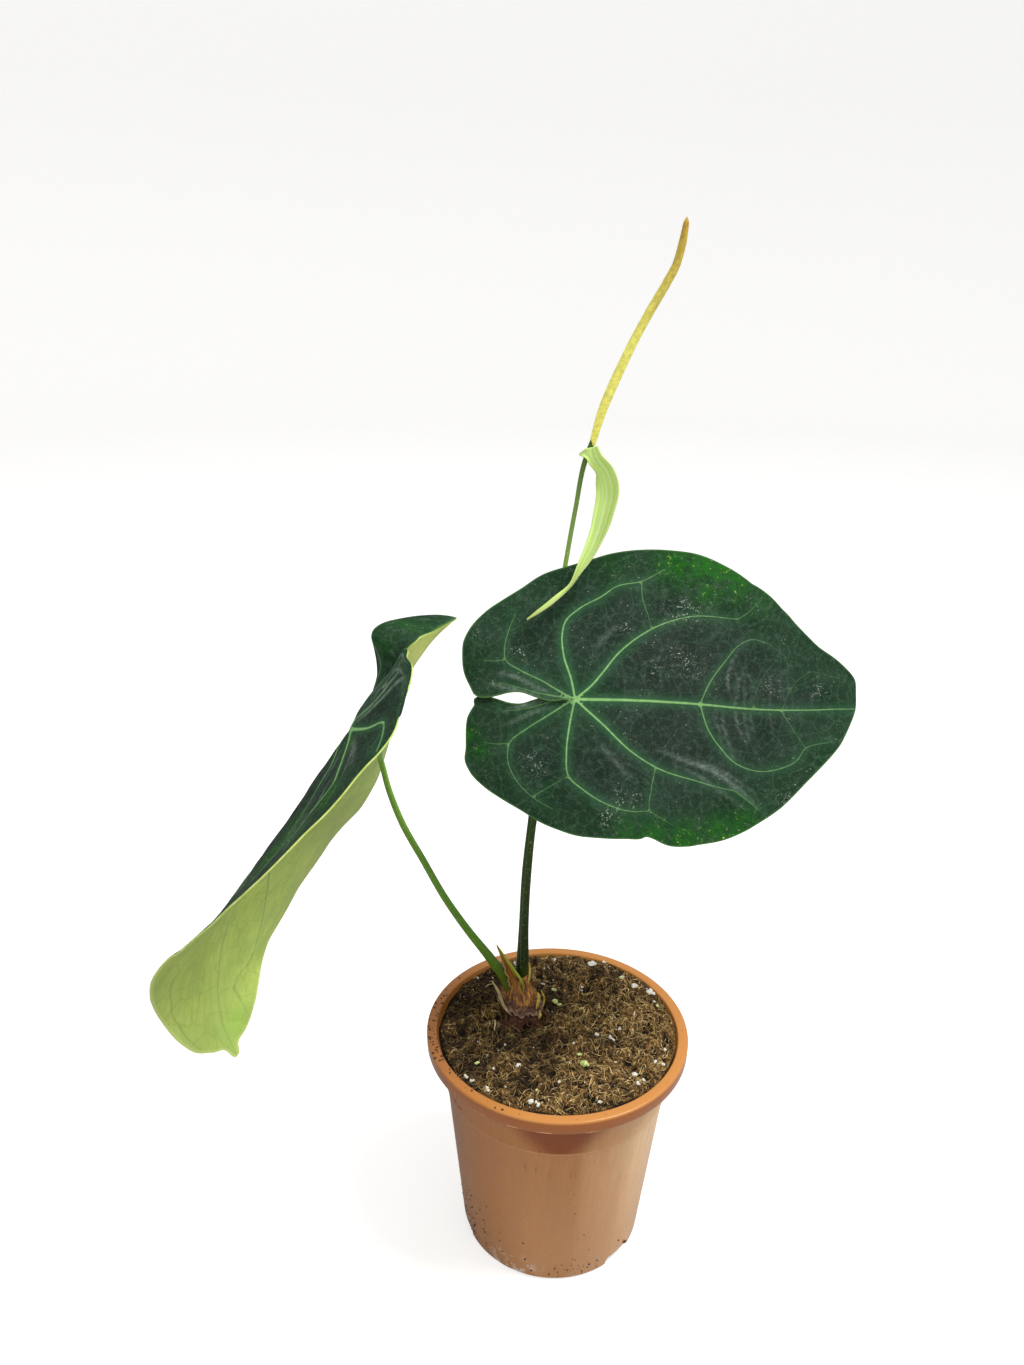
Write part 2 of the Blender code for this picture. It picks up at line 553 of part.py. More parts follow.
class Blade:
    """A heart-shaped blade laid along its midrib.

    A flat point (a, b) is a millimetres along the midrib from the junction and b across it.
    """

    def __init__(self, midrib, side, roots, slopes, folds, turns, scale, fullness, overlap, lift):
        self.scale = scale
        self.fullness = fullness
        self.roots = roots
        self.slopes = slopes
        self.folds = folds
        self.turns = turns
        self.overlap = overlap
        self.lift = lift
        self.along = np.arange(-60.0, 151.0, 1.0)
        self.rib = smooth_curve(midrib, self.along)
        self.across, self.face = route_frames(self.rib, np.array(side))

    def outline(self, spacing):
        """The flat edge, once round from the tip, over the first half, the slit and the other half."""
        halves = []
        for stations, sign in ((FREE_HALF, 1.0), (NOTCHED_HALF, -1.0)):
            fine = np.linspace(0.0, LOBE_ANGLE, FINE_STEPS)
            fuller = self.fullness * np.exp(-(((fine - FULL_ANGLE) / FULL_SPREAD) ** 2))
            fuller *= np.minimum(1.0, fine / FULL_START)
            edge = polar(smooth_curve(stations, fine) * (1.0 + fuller), fine)
            walked = np.concatenate([[0.0], np.cumsum(np.linalg.norm(np.diff(edge, axis=0), axis=1))])
            even = np.linspace(0.0, walked[-1], int(walked[-1] / spacing) + 1)
            edge = np.stack([np.interp(even, walked, edge[:, k]) for k in (0, 1)], axis=1)
            slit = np.array([(-distance, half) for distance, half in SINUS])
            halves.append(np.vstack([edge, slit]) * (1.0, sign))
        return np.vstack([halves[0], [(-SINUS_ROOT, 0.0)], halves[1][:0:-1]])

    def veins(self, spacing):
        """(rank, flat points) for the midrib and for each vein on both halves."""
        lines = [(1.3, np.stack([np.arange(0.0, MIDRIB_REACH, spacing)] * 2, axis=1) * (1.0, 0.0))]
        for rank, stations in VEINS:
            knots = polar(*np.array(stations, float).T)
            walked = np.concatenate([[0.0], np.cumsum(np.linalg.norm(np.diff(knots, axis=0), axis=1))])
            count = max(2, int(round(walked[-1] / spacing)) + 1)
            line = smooth_curve(list(zip(walked, knots)), np.linspace(0.0, walked[-1], count))
            lines += [(rank, line), (rank, line * (1.0, -1.0))]
        return lines

    def place(self, flat):
        """Where flat points lie on the blade's middle surface."""
        a, b = flat[..., 0], flat[..., 1]
        origin, across, face = (
            np.stack([np.interp(a, self.along, table[:, k]) for k in range(3)], axis=-1)
            for table in (self.rib, self.across, self.face)
        )
        out = np.abs(b)
        sign = np.where(b >= 0, 1.0, -1.0)
        root, slope, fold, turn = (
            np.where(b >= 0, smooth_curve(pair[0], a), smooth_curve(pair[1], a))
            for pair in (self.roots, self.slopes, self.folds, self.turns)
        )
        sideways = np.zeros_like(out)
        down = np.zeros_like(out)
        steps = 16
        for k in range(steps):
            reach = out * (k + 0.5) / steps
            share = reach / fold
            settled = 1 - np.exp(-share * share / 2 - share / 4)
            angle = np.radians(root + (slope - root) * settled + turn * reach / 50)
            sideways += np.cos(angle) * out / steps
            down += np.sin(angle) * out / steps
        near_slit = np.exp(-out / LOBE_REACH)
        sideways += smooth_curve(self.overlap, -a) * near_slit
        raised = self.lift * near_slit * np.clip(-a / 6, 0.0, 1.0) * sign + self.wave(a, b)
        moved = across * (sign * sideways)[..., None] + face * (raised - down)[..., None]
        return origin + self.scale * moved

    def wave(self, a, b):
        """The margin's gentle waves, growing from the middle of the blade outwards."""
        angle = np.degrees(np.arctan2(np.abs(b), a))
        edge = smooth_curve(FREE_HALF, angle)
        outward = np.clip(np.hypot(a, b) / edge, 0.0, 1.0) ** 3
        swing = np.sin(np.radians(angle) * MARGIN_WAVES + np.where(b >= 0, 0.4, 1.9))
        return MARGIN_WAVE_HEIGHT * outward * swing * np.sin(np.radians(np.clip(angle, 0, LOBE_ANGLE)))

    def normal(self, flat):
        step = 0.05
        a_step, b_step = np.array([step, 0.0]), np.array([0.0, step])
        along = self.place(flat + a_step) - self.place(flat - a_step)
        across = self.place(flat + b_step) - self.place(flat - b_step)
        return unit(np.cross(along, across))

    def seat(self, depth):
        """The point at a depth behind the junction, square to the blade."""
        junction = np.zeros((1, 2))
        return (self.place(junction) - self.normal(junction) * depth)[0]


def flat_triangles(blade):
    """Flat points, their relief from 0 to about 1, and triangles that follow the edge and the veins."""
    edge = blade.outline(OUTLINE_SPACING / blade.scale)
    points = [tuple(p) for p in edge]
    relief = [0.0] * len(points)
    links = [(i, (i + 1) % len(points)) for i in range(len(points))]
    vein_points = []
    for rank, line in blade.veins(VEIN_SPACING / blade.scale):
        first = len(points)
        points += [tuple(p) for p in line]
        taper = np.clip(np.linspace(1.6, 0.3, len(line)), 0.0, 1.0)
        relief += list(rank * taper)
        links += [(first + i, first + i + 1) for i in range(len(line) - 1)]
        vein_points.append(line)
    spacing = BLADE_SPACING / blade.scale
    kept = np.vstack([edge, *vein_points])
    for row, b in enumerate(np.arange(*FIELD[1], spacing * ROW_SHARE)):
        for a in np.arange(*FIELD[0], spacing) + (row % 2) * spacing / 2:
            clear = np.linalg.norm(kept - (a, b), axis=1).min() > CLEAR_SHARE * spacing
            if clear and inside((a, b), edge):
                points.append((a, b))
                relief.append(0.0)
    flat, _, triangles, origins, _, _ = delaunay_2d_cdt([Vector(p) for p in points], links, [], 1, 0.01)
    height = [max((relief[i] for i in source), default=1.0) for source in origins]
    return np.array([tuple(p) for p in flat]), np.array(height), [tuple(t) for t in triangles]


def inside(place, loop):
    """Whether a flat point lies inside a closed flat loop."""
    start, end = loop, np.roll(loop, -1, axis=0)
    spans = (start[:, 1] > place[1]) != (end[:, 1] > place[1])
    rise = np.where(spans, end[:, 1] - start[:, 1], 1.0)
    crossing = start[:, 0] + (end[:, 0] - start[:, 0]) * (place[1] - start[:, 1]) / rise
    return bool(np.count_nonzero(spans & (place[0] < crossing)) % 2)


def two_sided(top, bottom, triangles):
    """Points and faces of a thin solid whose two faces have the same triangles."""
    count = len(top)
    faces = [tuple(t) for t in triangles] + [tuple(i + count for i in reversed(t)) for t in triangles]
    uses = {}
    for a, b, c in triangles:
        for side in ((a, b), (b, c), (c, a)):
            uses[side] = True
    for a, b in uses:
        if (b, a) not in uses:
            faces.append((b, a, a + count, b + count))
    return np.vstack([top, bottom]), faces


def add_blade(name, blade, material):
    """A blade with its veins raised on both faces."""
    flat, relief, triangles = flat_triangles(blade)
    middle = blade.place(flat)
    normal = blade.normal(flat)
    top = middle + normal * (BLADE_THICKNESS / 2 + RIDGE_ABOVE * relief)[:, None]
    bottom = middle - normal * (BLADE_THICKNESS / 2 + RIDGE_BELOW * relief)[:, None]
    points, faces = two_sided(top, bottom, triangles)
    return add_object(name, mesh_of(name, points, faces), material)


def add_spathe():
    """A narrow bract that hangs from the top of the peduncle and twists near its tip."""
    route = smooth_route(SPATHE_ROUTE, SPATHE_ROWS)
    across, face = route_frames(route, np.array([1.0, -0.2, 0.0]))
    columns = np.linspace(-1.0, 1.0, SPATHE_COLUMNS + 1)
    top = []
    bottom = []
    for row, place in enumerate(route):
        share = row / (SPATHE_ROWS - 1)
        half = float(smooth_curve(SPATHE_WIDTHS, share))
        turn = radians(float(smooth_curve(SPATHE_TURNS, share)))
        side = across[row] * cos(turn) + face[row] * sin(turn)
        up = face[row] * cos(turn) - across[row] * sin(turn)
        for x in columns:
            lift = SPATHE_CUP * half * x * x
            rib = SPATHE_RIB_HEIGHT * cos(2 * pi * SPATHE_RIBS * x) * min(1.0, half / 3)
            slope = 2 * SPATHE_CUP * x
            out = unit(up - side * slope)
            middle = place + side * (half * x) + up * lift
            top.append(middle + out * (SPATHE_THICKNESS / 2 + rib))
            bottom.append(middle - out * (SPATHE_THICKNESS / 2 - rib))
    triangles = []
    wide = SPATHE_COLUMNS + 1
    for row in range(SPATHE_ROWS - 1):
        for i in range(SPATHE_COLUMNS):
            a = row * wide + i
            triangles += [(a, a + wide + 1, a + 1), (a, a + wide, a + wide + 1)]
    points, faces = two_sided(np.array(top), np.array(bottom), triangles)
    material = make_material("Pale bract", "#c3d583", 0.5)
    return add_object("spathe", mesh_of("spathe", points, faces), material)


def add_spadix():
    """A slender spike covered in low florets, in rows that step round by half a floret."""
    route = smooth_route(SPADIX_ROUTE, FLORET_ROWS)
    across, face = route_frames(route, np.array([1.0, 0.0, 0.0]))
    sides = 2 * FLORETS_ROUND
    points = []
    for row, place in enumerate(route):
        share = row / (FLORET_ROWS - 1)
        radius = float(smooth_curve(SPADIX_RADII, share))
        for i in range(sides):
            angle = 2 * pi * i / sides
            florets = FLORET_HEIGHT / 2 * (1 if (i + row) % 2 else -1) * (0 < row < FLORET_ROWS - 1)
            out = across[row] * cos(angle) + face[row] * sin(angle)
            points.append(place + out * (radius + florets))
    faces = closed_rows(FLORET_ROWS, sides)
    material = make_material("Spadix", "#d9bd3a", 0.6)
    return add_object("spadix", mesh_of("spadix", points, faces), material)


def main():
    for thing in list(bpy.data.objects):
        bpy.data.objects.remove(thing)
    add_pot()
    add_soil()
    stem_base = add_stem_base()
    bright = make_material("Bright stalk", "#6f9a2e", 0.45)
    dark = make_material("Dark stalk", "#3f5a22", 0.45)
    green = make_material("Peduncle", "#557a33", 0.45)
    sheath = make_material("Young sheath", "#b5a83f", 0.55)
    velvet = make_material("Velvet blade", "#2c4a33", 0.7)
    blades = {}
    for name, sizes in (("blade_left", LEFT_BLADE), ("blade_right", RIGHT_BLADE)):
        blades[name] = Blade(**sizes)
        add_blade(name, blades[name], velvet)
    behind = BLADE_THICKNESS / 2 + RIDGE_BELOW * 1.3 + GAP
    for name, blade, route, radii, material in (
        ("petiole_left", "blade_left", LEFT_PETIOLE_ROUTE, LEFT_PETIOLE_RADII, bright),
        ("petiole_right", "blade_right", RIGHT_PETIOLE_ROUTE, RIGHT_PETIOLE_RADII, dark),
    ):
        end = [blades[blade].seat(behind + BEND_LENGTH), blades[blade].seat(behind)]
        add_stalk(name, [*route, *end], radii, material, stem_base)
    add_stalk("peduncle", PEDUNCLE_ROUTE, PEDUNCLE_RADII, green, stem_base)
    add_stalk("young_sheath", YOUNG_SHEATH_ROUTE, YOUNG_SHEATH_RADII, sheath, stem_base)
    add_spathe()
    add_spadix()


main()
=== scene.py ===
"""Potted anthurium: a young velvet-leaved plant with two leaves and one bloom, in a plain nursery pot.

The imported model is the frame. Each operator makes the finished pieces that stand where its solids are.
Sizes are written in millimetres and times MM they are metres.
"""

from functools import partial
from math import cos, hypot, pi, radians, sin
from random import Random

import bmesh
import bpy
import numpy as np
from mathutils import Color, Matrix, Vector, noise
from mathutils.bvhtree import BVHTree
from mathutils.geometry import delaunay_2d_cdt


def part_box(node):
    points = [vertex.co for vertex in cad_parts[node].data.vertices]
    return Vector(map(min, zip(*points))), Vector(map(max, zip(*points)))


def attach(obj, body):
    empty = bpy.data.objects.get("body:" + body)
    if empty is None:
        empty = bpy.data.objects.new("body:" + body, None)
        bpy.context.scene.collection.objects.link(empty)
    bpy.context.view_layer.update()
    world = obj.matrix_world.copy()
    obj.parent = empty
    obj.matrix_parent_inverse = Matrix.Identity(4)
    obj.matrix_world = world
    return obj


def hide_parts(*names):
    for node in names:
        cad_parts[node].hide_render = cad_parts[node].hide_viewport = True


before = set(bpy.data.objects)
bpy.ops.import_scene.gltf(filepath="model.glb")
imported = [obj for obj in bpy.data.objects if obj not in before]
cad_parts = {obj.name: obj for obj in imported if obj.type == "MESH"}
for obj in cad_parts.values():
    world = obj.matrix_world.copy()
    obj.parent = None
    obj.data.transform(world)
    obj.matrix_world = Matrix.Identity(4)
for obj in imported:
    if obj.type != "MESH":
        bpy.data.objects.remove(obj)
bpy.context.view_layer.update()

bl_info = {
    "name": "Potted Anthurium",
    "version": (1, 0, 0),
    "blender": (4, 5, 0),
    "location": "3D View > Sidebar > Anthurium",
    "description": "Builds a potted velvet-leaved anthurium piece by piece",
    "category": "Add Mesh",
}

MM = 0.001
POT_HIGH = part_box("pot")[1]

# Pot, in millimetres
RIM_RADIUS = 60.0
WALL_TOP_RADIUS = 53.4
BASE_RADIUS = 42.5
WALL = 1.2
FLOOR = 1.5
RIM_INNER_RADIUS = 55.4
COLLAR = 6.3  # height of the rolled collar
SHOULDER_Z = 84.5
SHOULDER_STEP = 0.5
NOTCH_SIZE = (8.0, 16.5, 9.6)
NOTCH_CORNER = 2.2
NOTCH_HEADINGS = (-43.3, 76.7, 196.7)  # degrees from +X; the first faces front right
POT_STEPS = 180
# Sides where the wall gets its painted highlight, its painted sheen band, its scrapes at the foot and its
# painted shade
SUNNY_SIDE, SHEEN_SIDE, SCRAPED_SIDE, SHADY_SIDE = (
    (cos(radians(heading)), sin(radians(heading)), 0.0) for heading in (-20.0, -67.0, -117.0, -175.0)
)
POT_DIRT = (  # heading in degrees, height, radius of the speck
    (-136.0, 23.7, 0.40), (-136.2, 15.4, 0.45), (-147.2, 12.0, 0.7), (-149.8, 5.8, 0.55),
    (-108.4, 22.7, 0.5), (-107.3, 11.8, 0.45), (-103.6, 4.9, 0.5), (-92.3, 3.9, 0.6), (-84.7, 10.3, 0.3),
    (-67.1, 7.1, 0.45), (-61.5, 7.5, 0.5), (-37.8, 6.4, 0.7), (-45.4, 12.5, 0.45), (15.0, 30.0, 0.5),
    (98.0, 14.0, 0.6), (140.0, 8.0, 0.5), (-152.0, 88.0, 0.35), (-149.0, 86.5, 0.3), (-146.5, 87.5, 0.3),
)
WALL_DIRT = (  # specks, heading in degrees and its spread, least height and its spread
    (70, -148.0, 12.0, 3.0, 15.0), (26, -78.0, 10.0, 2.0, 7.0),
)
RIM_DIRT = 60
RIM_DIRT_HEADING = (-174.0, 17.0)  # and its spread
LOOSE_DIRT = 26
DIRT_SWELL = 2.6  # width of a speck over its listed radius

# Soil
SOIL_EDGE_Z = 107.3
SOIL_TILT = 0.035
SOIL_TILT_HEADING = 50.0
SOIL_CROWN = 2.0
LUMPS = (  # wavelength, height, heading in degrees, phase in degrees
    (31.0, 0.9, 20.0, 40.0), (23.0, 0.8, 77.0, 200.0), (17.0, 0.7, 131.0, 90.0),
    (12.5, 0.6, 52.0, 310.0), (10.5, 0.5, 163.0, 150.0),
)
CLODS = ((11.0, 1.7), (5.0, 1.2), (2.2, 0.7))  # size of a lump of peat, and its height
HOLLOW_CENTRE = (-19.0, 11.0)
HOLLOW_RADIUS = 13.0
HOLLOW_DEPTH = 4.8
SOIL_CELLS = 200  # cells across the grid
PROUD_REACH = 5  # cells to each side that a point's height is held against
SOIL_FOOT = ((0.5, 96.0), (0.3, 2.0))  # gap to the wall and height of each ring below the top
SOIL_REACH = 53.0  # what lies on the soil keeps within this radius
STEM_CLEARANCE = 7.5  # and this far from the stem's middle
PERLITE = (  # x, y and width of the grains that lie on top
    (18.6, 48.0, 5.6), (20.6, 46.4, 3.0), (25.0, 48.0, 2.2), (33.1, 34.9, 3.4), (38.4, 28.1, 3.6),
    (46.4, 26.0, 4.0), (46.6, 17.8, 2.0), (12.6, 28.1, 2.2), (18.0, -7.5, 2.4), (24.4, -8.0, 3.0),
    (29.0, -1.1, 2.0), (25.0, -22.3, 1.6), (33.7, -29.0, 3.4), (37.0, -31.0, 2.2), (43.1, -23.1, 2.6),
    (46.0, -24.5, 2.0), (33.7, -36.9, 2.0), (-12.1, -47.0, 4.0), (-10.4, -48.6, 3.0), (17.1, -46.1, 2.8),
    (-0.2, -34.1, 2.0), (-18.0, -27.8, 2.6), (-40.7, -31.4, 2.4), (-38.0, -33.0, 2.0), (-30.5, -37.8, 3.2),
    (-29.0, -27.4, 2.0), (-5.9, 29.9, 1.8), (-24.0, -12.0, 1.6), (48.0, -14.0, 2.0), (-38.0, 34.0, 2.0),
    (0.0, 50.0, 1.8), (-20.0, 45.0, 2.2), (7.0, -15.0, 1.4), (20.0, 12.0, 1.3), (36.0, 6.0, 1.5),
)
SPROUTS = (  # x, y and width of the greenish and yellow bits
    (11.1, -24.6, 4.4), (9.2, -20.2, 2.6), (-0.8, 21.0, 2.8), (-0.5, 15.1, 3.0), (1.6, 13.6, 2.6),
    (48.0, 14.2, 2.6), (-36.2, -22.6, 2.8), (33.0, 33.0, 2.0), (-10.0, -40.0, 1.5),
)

# Stem base
STEM_COLLAR = (-15.8, 12.5, 109.0)
STEM_TOP = (-18.7, 13.2, 127.5)
SHEATHS = (  # degrees where it starts and its width; share up the stem of its lower then upper edge at
    # the start and at the end; radius of each edge
    (-215, 235, 0.5, 0.24, 1.14, 1.1, 8.3, 4.6), (-5, 190, 0.2, 0.3, 1.05, 1.12, 7.8, 4.7),
    (-112, 165, 0.5, 0.3, 1.2, 0.85, 8.4, 4.9), (-205, 75, 0.55, 0.6, 1.24, 1.2, 7.6, 4.5),
)
SKIRTS = (
    (-200, 215, 0.4, 0.12, 0.62, 0.45, 9.0, 7.9), (-10, 200, 0.1, 0.2, 0.5, 0.55, 8.6, 7.6),
    (-150, 120, 0.34, 0.16, 0.6, 0.5, 8.9, 8.1),
)
FLAKES = (  # route, half width
    (((-9.6, 6.0, 115.0), (-9.0, 5.4, 118.0), (-8.6, 5.4, 121.0), (-9.0, 6.2, 124.0)), 0.8),
    (((-7.0, 6.8, 114.5), (-6.2, 6.3, 118.0), (-6.2, 6.6, 121.5), (-7.6, 7.6, 124.5)), 0.3),
    (((-8.4, 4.6, 110.5), (-7.8, 4.2, 112.5), (-8.0, 4.8, 114.6)), 0.7),
    (((-13.6, 7.6, 129.0), (-13.0, 9.4, 133.0), (-13.4, 10.8, 137.5)), 0.45),
)
CURLS = (
    (((-20.8, 4.6, 112.0), (-23.4, 4.4, 115.0), (-25.6, 4.6, 119.5), (-27.6, 5.0, 125.5),
      (-30.3, 5.2, 131.0)), 0.75),
    (((-31.0, 2.0, 109.4), (-29.4, 1.2, 112.0), (-28.6, -1.0, 113.4), (-28.9, -5.0, 111.5)), 0.35),
    (((-33.5, 6.4, 126.6), (-31.8, 5.8, 128.4), (-30.0, 5.2, 129.4)), 0.3),
)
STEM_CORE_RADII = ((-0.3, 6.6), (0.0, 7.6), (0.35, 7.0), (0.9, 4.6), (0.95, 3.4))
PAPER = 0.22  # thickness of the wrapped sheaths
SHRED = 0.25  # thickness of the flakes and the curl
ROOT_STUBS = 34
ROOT_HEADING = (-95, 48)  # and its spread
ROOT_TOP_Z = 112.6
ROOT_DROP = 4.6

# Stalks: route points, then the radius by the share of the length
LEFT_PETIOLE = (
    (-21.6, 11.7, 117.0), (-23.4, 10.6, 126.0), (-31.0, 8.0, 141.0), (-40.6, 6.0, 156.5),
    (-50.5, 3.5, 174.5), (-60.5, -2.0, 199.0), (-68.5, -8.0, 220.5), (-72.8, -13.0, 238.0),
    (-75.0, -18.5, 254.0),
)
LEFT_PETIOLE_RADII = (
    (0, 2.7), (0.08, 2.5), (0.19, 1.95), (0.35, 1.6), (0.6, 1.4), (0.9, 1.25), (0.97, 1.45), (1, 1.3),
)
RIGHT_PETIOLE = (
    (-16.2, 13.4, 117.0), (-15.6, 14.2, 128.0), (-15.8, 16.0, 151.5), (-14.7, 18.0, 182.5),
    (-12.7, 21.0, 206.5), (-8.5, 22.5, 232.0), (-3.0, 18.5, 254.0),
)
RIGHT_PETIOLE_RADII = ((0, 2.3), (0.1, 2.1), (0.3, 1.65), (0.6, 1.3), (0.9, 1.2), (0.97, 1.5), (1, 1.35))
PEDUNCLE = (
    (-18.6, 17.1, 117.0), (-18.1, 18.0, 132.0), (-17.4, 20.0, 148.5), (-16.4, 23.0, 179.5),
    (-14.2, 26.0, 204.5), (-8.6, 31.5, 262.0), (-2.2, 36.0, 319.0), (1.3, 37.0, 343.5),
    (5.0, 38.0, 365.0), (7.7, 38.2, 372.3),
)
PEDUNCLE_RADII = ((0, 1.2), (0.1, 1.15), (0.8, 1.0), (0.93, 1.0), (0.97, 1.1), (1, 1.2))
YOUNG_SHEATH = (
    (-17.8, 11.2, 121.5), (-18.9, 9.4, 129.0), (-22.0, 7.9, 136.8), (-25.2, 6.8, 143.6), (-28.4, 6.0, 150.2),
)
YOUNG_SHEATH_WIDTHS = ((0, 2.6), (0.28, 3.1), (0.5, 2.3), (0.8, 1.0), (1, 0.12))
YOUNG_SHEATH_THICKNESS = 0.3
YOUNG_SHEATH_ROLL = 1.9  # radians from its middle to each edge
PETIOLE_ENDS = (7.3, 0.4)  # how far behind the blade its last two points are

# Bloom
SPADIX_ROUTE = (
    (7.2, 38.2, 370.0), (8.6, 38.3, 376.0), (11.0, 38.5, 384.5), (14.2, 38.7, 393.0), (17.8, 38.9, 401.5),
    (21.6, 39.0, 410.0), (27.4, 39.2, 421.5), (33.2, 39.4, 432.0), (36.4, 39.5, 438.5),
    (38.0, 39.6, 445.0), (39.4, 39.8, 455.5),
)
SPADIX_RADII = (
    (0, 1.35), (0.05, 1.4), (0.12, 1.65), (0.5, 1.65), (0.8, 1.5), (0.94, 1.2), (0.985, 0.8), (1, 0.35),
)
FLORET_SPIRALS = 7
FLORET_PITCH = 1.25  # along the spike
FLORET_HEIGHT = 0.34
SPATHE_ROUTE = (
    (7.2, 36.1, 369.5), (8.2, 35.2, 365.5), (12.5, 33.5, 359.5), (14.6, 31.0, 353.3), (13.2, 27.0, 344.3),
    (10.0, 23.0, 334.5), (3.9, 18.5, 323.6), (0.0, 16.0, 317.6), (-8.0, 12.5, 311.1), (-18.0, 9.0, 304.7),
)
SPATHE_WIDTHS = (
    (0, 2.4), (0.07, 4.2), (0.2, 5.5), (0.33, 5.4), (0.5, 4.3), (0.62, 3.3), (0.75, 2.4), (0.9, 1.4),
    (1, 0.3),
)
SPATHE_TURNS = ((0, 10), (0.15, 25), (0.4, 38), (0.62, 50), (0.72, 74), (0.8, 52), (1, 30))
SPATHE_CUP = 0.32

# Blades: the flat outline of each half, as degrees from the midrib and distance from the junction
RIGHT_FREE_HALF = (
    (0, 121.5), (1, 122.8), (2, 123), (4, 121), (6, 118.6), (8, 116), (10, 113), (12, 109.8), (16, 104.9),
    (20, 101), (24, 98.4), (28, 95.2), (34, 90.2), (40, 85.2), (46, 81.7), (52, 79.3), (60, 73.8), (66, 69.8),
    (72, 66), (78, 62.4), (84, 59), (92, 56.2), (106, 53.7), (116, 51.4), (126, 50.9), (136, 51.5),
    (148, 51.8), (154, 51.2), (160, 49.2), (167, 46.6), (174, 42.6),
)
RIGHT_NOTCHED_HALF = (
    (0, 121.5), (1, 119.8), (2, 117.8), (4, 113.8), (6, 110.6), (8, 107.8), (12, 102.2), (16, 97.8),
    (20, 94.4), (26, 91.2), (34, 86.4), (40, 83.4), (46, 78.4), (50, 75), (56, 69), (59, 64.2),
    (60.5, 62.6), (63, 62.2), (68, 60), (74, 58), (80, 56.4), (88, 54.9), (96, 53), (104, 51.6),
    (114, 49.9), (126, 50.1), (134, 51), (144, 51.7), (150, 50.8), (154, 48.6), (158, 47.2), (164, 45.6),
    (168, 44.4), (174, 41),
)
LEFT_FREE_HALF = (
    (0, 131), (0.6, 130.2), (1.1, 126.6), (1.7, 125), (2.6, 124.2), (4, 122.2), (6, 119.3), (8, 115.5),
    (12, 107.6), (16, 102.6), (20, 99.6), (24, 97.6), (30, 93.6), (40, 87.6), (50, 81), (60, 74), (70, 67),
    (80, 61), (92, 56), (105, 53), (120, 51.5), (135, 51.5), (148, 51.2), (158, 49.5), (167, 46), (174, 42),
)
LEFT_NOTCHED_HALF = (
    (0, 131), (0.6, 130), (1.1, 126.8), (1.7, 126), (3, 125.2), (4.5, 123.2), (6.5, 118.5), (8, 115),
    (12, 108.6), (16, 103.2), (20, 99), (26, 93.6), (34, 87), (40, 83.2), (50, 75.6), (57, 68.2), (61, 63.5),
    (65, 62), (72, 59.5), (82, 56.5), (95, 52.4), (107, 50), (120, 51), (135, 51.6), (148, 50.5),
    (158, 47.6), (167, 45), (174, 42),
)
LOBE_ANGLE = 174.0
SINUS = (
    (41, 2.2), (38.5, 0.9), (35, 0.6), (31, 1.1), (27, 1.9), (22, 2.1), (17, 1.1), (13, 0.6), (8, 0.5),
    (3.5, 0.4),
)
SINUS_ROOT = 1.8
SINUS_LENGTH = 42  # along each side of the gap
HALO_REACH = 2.4  # how far from a vein its paler halo, its ridge and its furrow go
RIDGE_REACH = 0.7
SWELL_REACH = 5.0
RIDGE_ABOVE = 0.2  # how far veins stand out above and below
RIDGE_BELOW = 0.4
SWELL_HEIGHT = 0.35
FOLD_HEIGHT = 0.22
MARGIN = 6.0  # the face settles this near the edge
MARGIN_WAVES = 5
MARGIN_WAVE_HEIGHT = 1.1
LOBE_REACH = 9.0
RIGHT_BLADE = dict(
    midrib=(
        (-60, (-58.0, 0.3, 274.6)), (0, (2.0, 0.0, 274.2)), (25, (27.0, -0.1, 274.0)),
        (50, (52.0, -0.5, 273.2)), (71, (73.0, -1.2, 271.8)), (88, (90.0, -0.2, 271.4)),
        (106, (107.8, 3.7, 272.2)), (119, (118.6, 11.2, 272.8)), (131, (121.6, 22.5, 272.8)),
        (150, (120.5, 41.0, 272.0)),
    ),
    side=(0.0, 0.5, 0.866),
    roots=(((-60, 0), (150, 0)),) * 2,
    slopes=(((-60, 0), (0, 1), (150, 0)),) * 2,
    folds=(((-60, 5), (150, 5)),) * 2,
    turns=(((-60, 5), (0, 2), (60, 0), (150, 0)),) * 2,
    scale=1.0,
    halves=(RIGHT_FREE_HALF, RIGHT_NOTCHED_HALF),
    overlap=(
        (0, 0), (2, -0.5), (5, -1.1), (10, -1.7), (14, -1.1), (21, 0), (32, -0.6), (37, -1.3), (60, -1.3),
    ),
    lift=1.1,
    pushes=(),
)
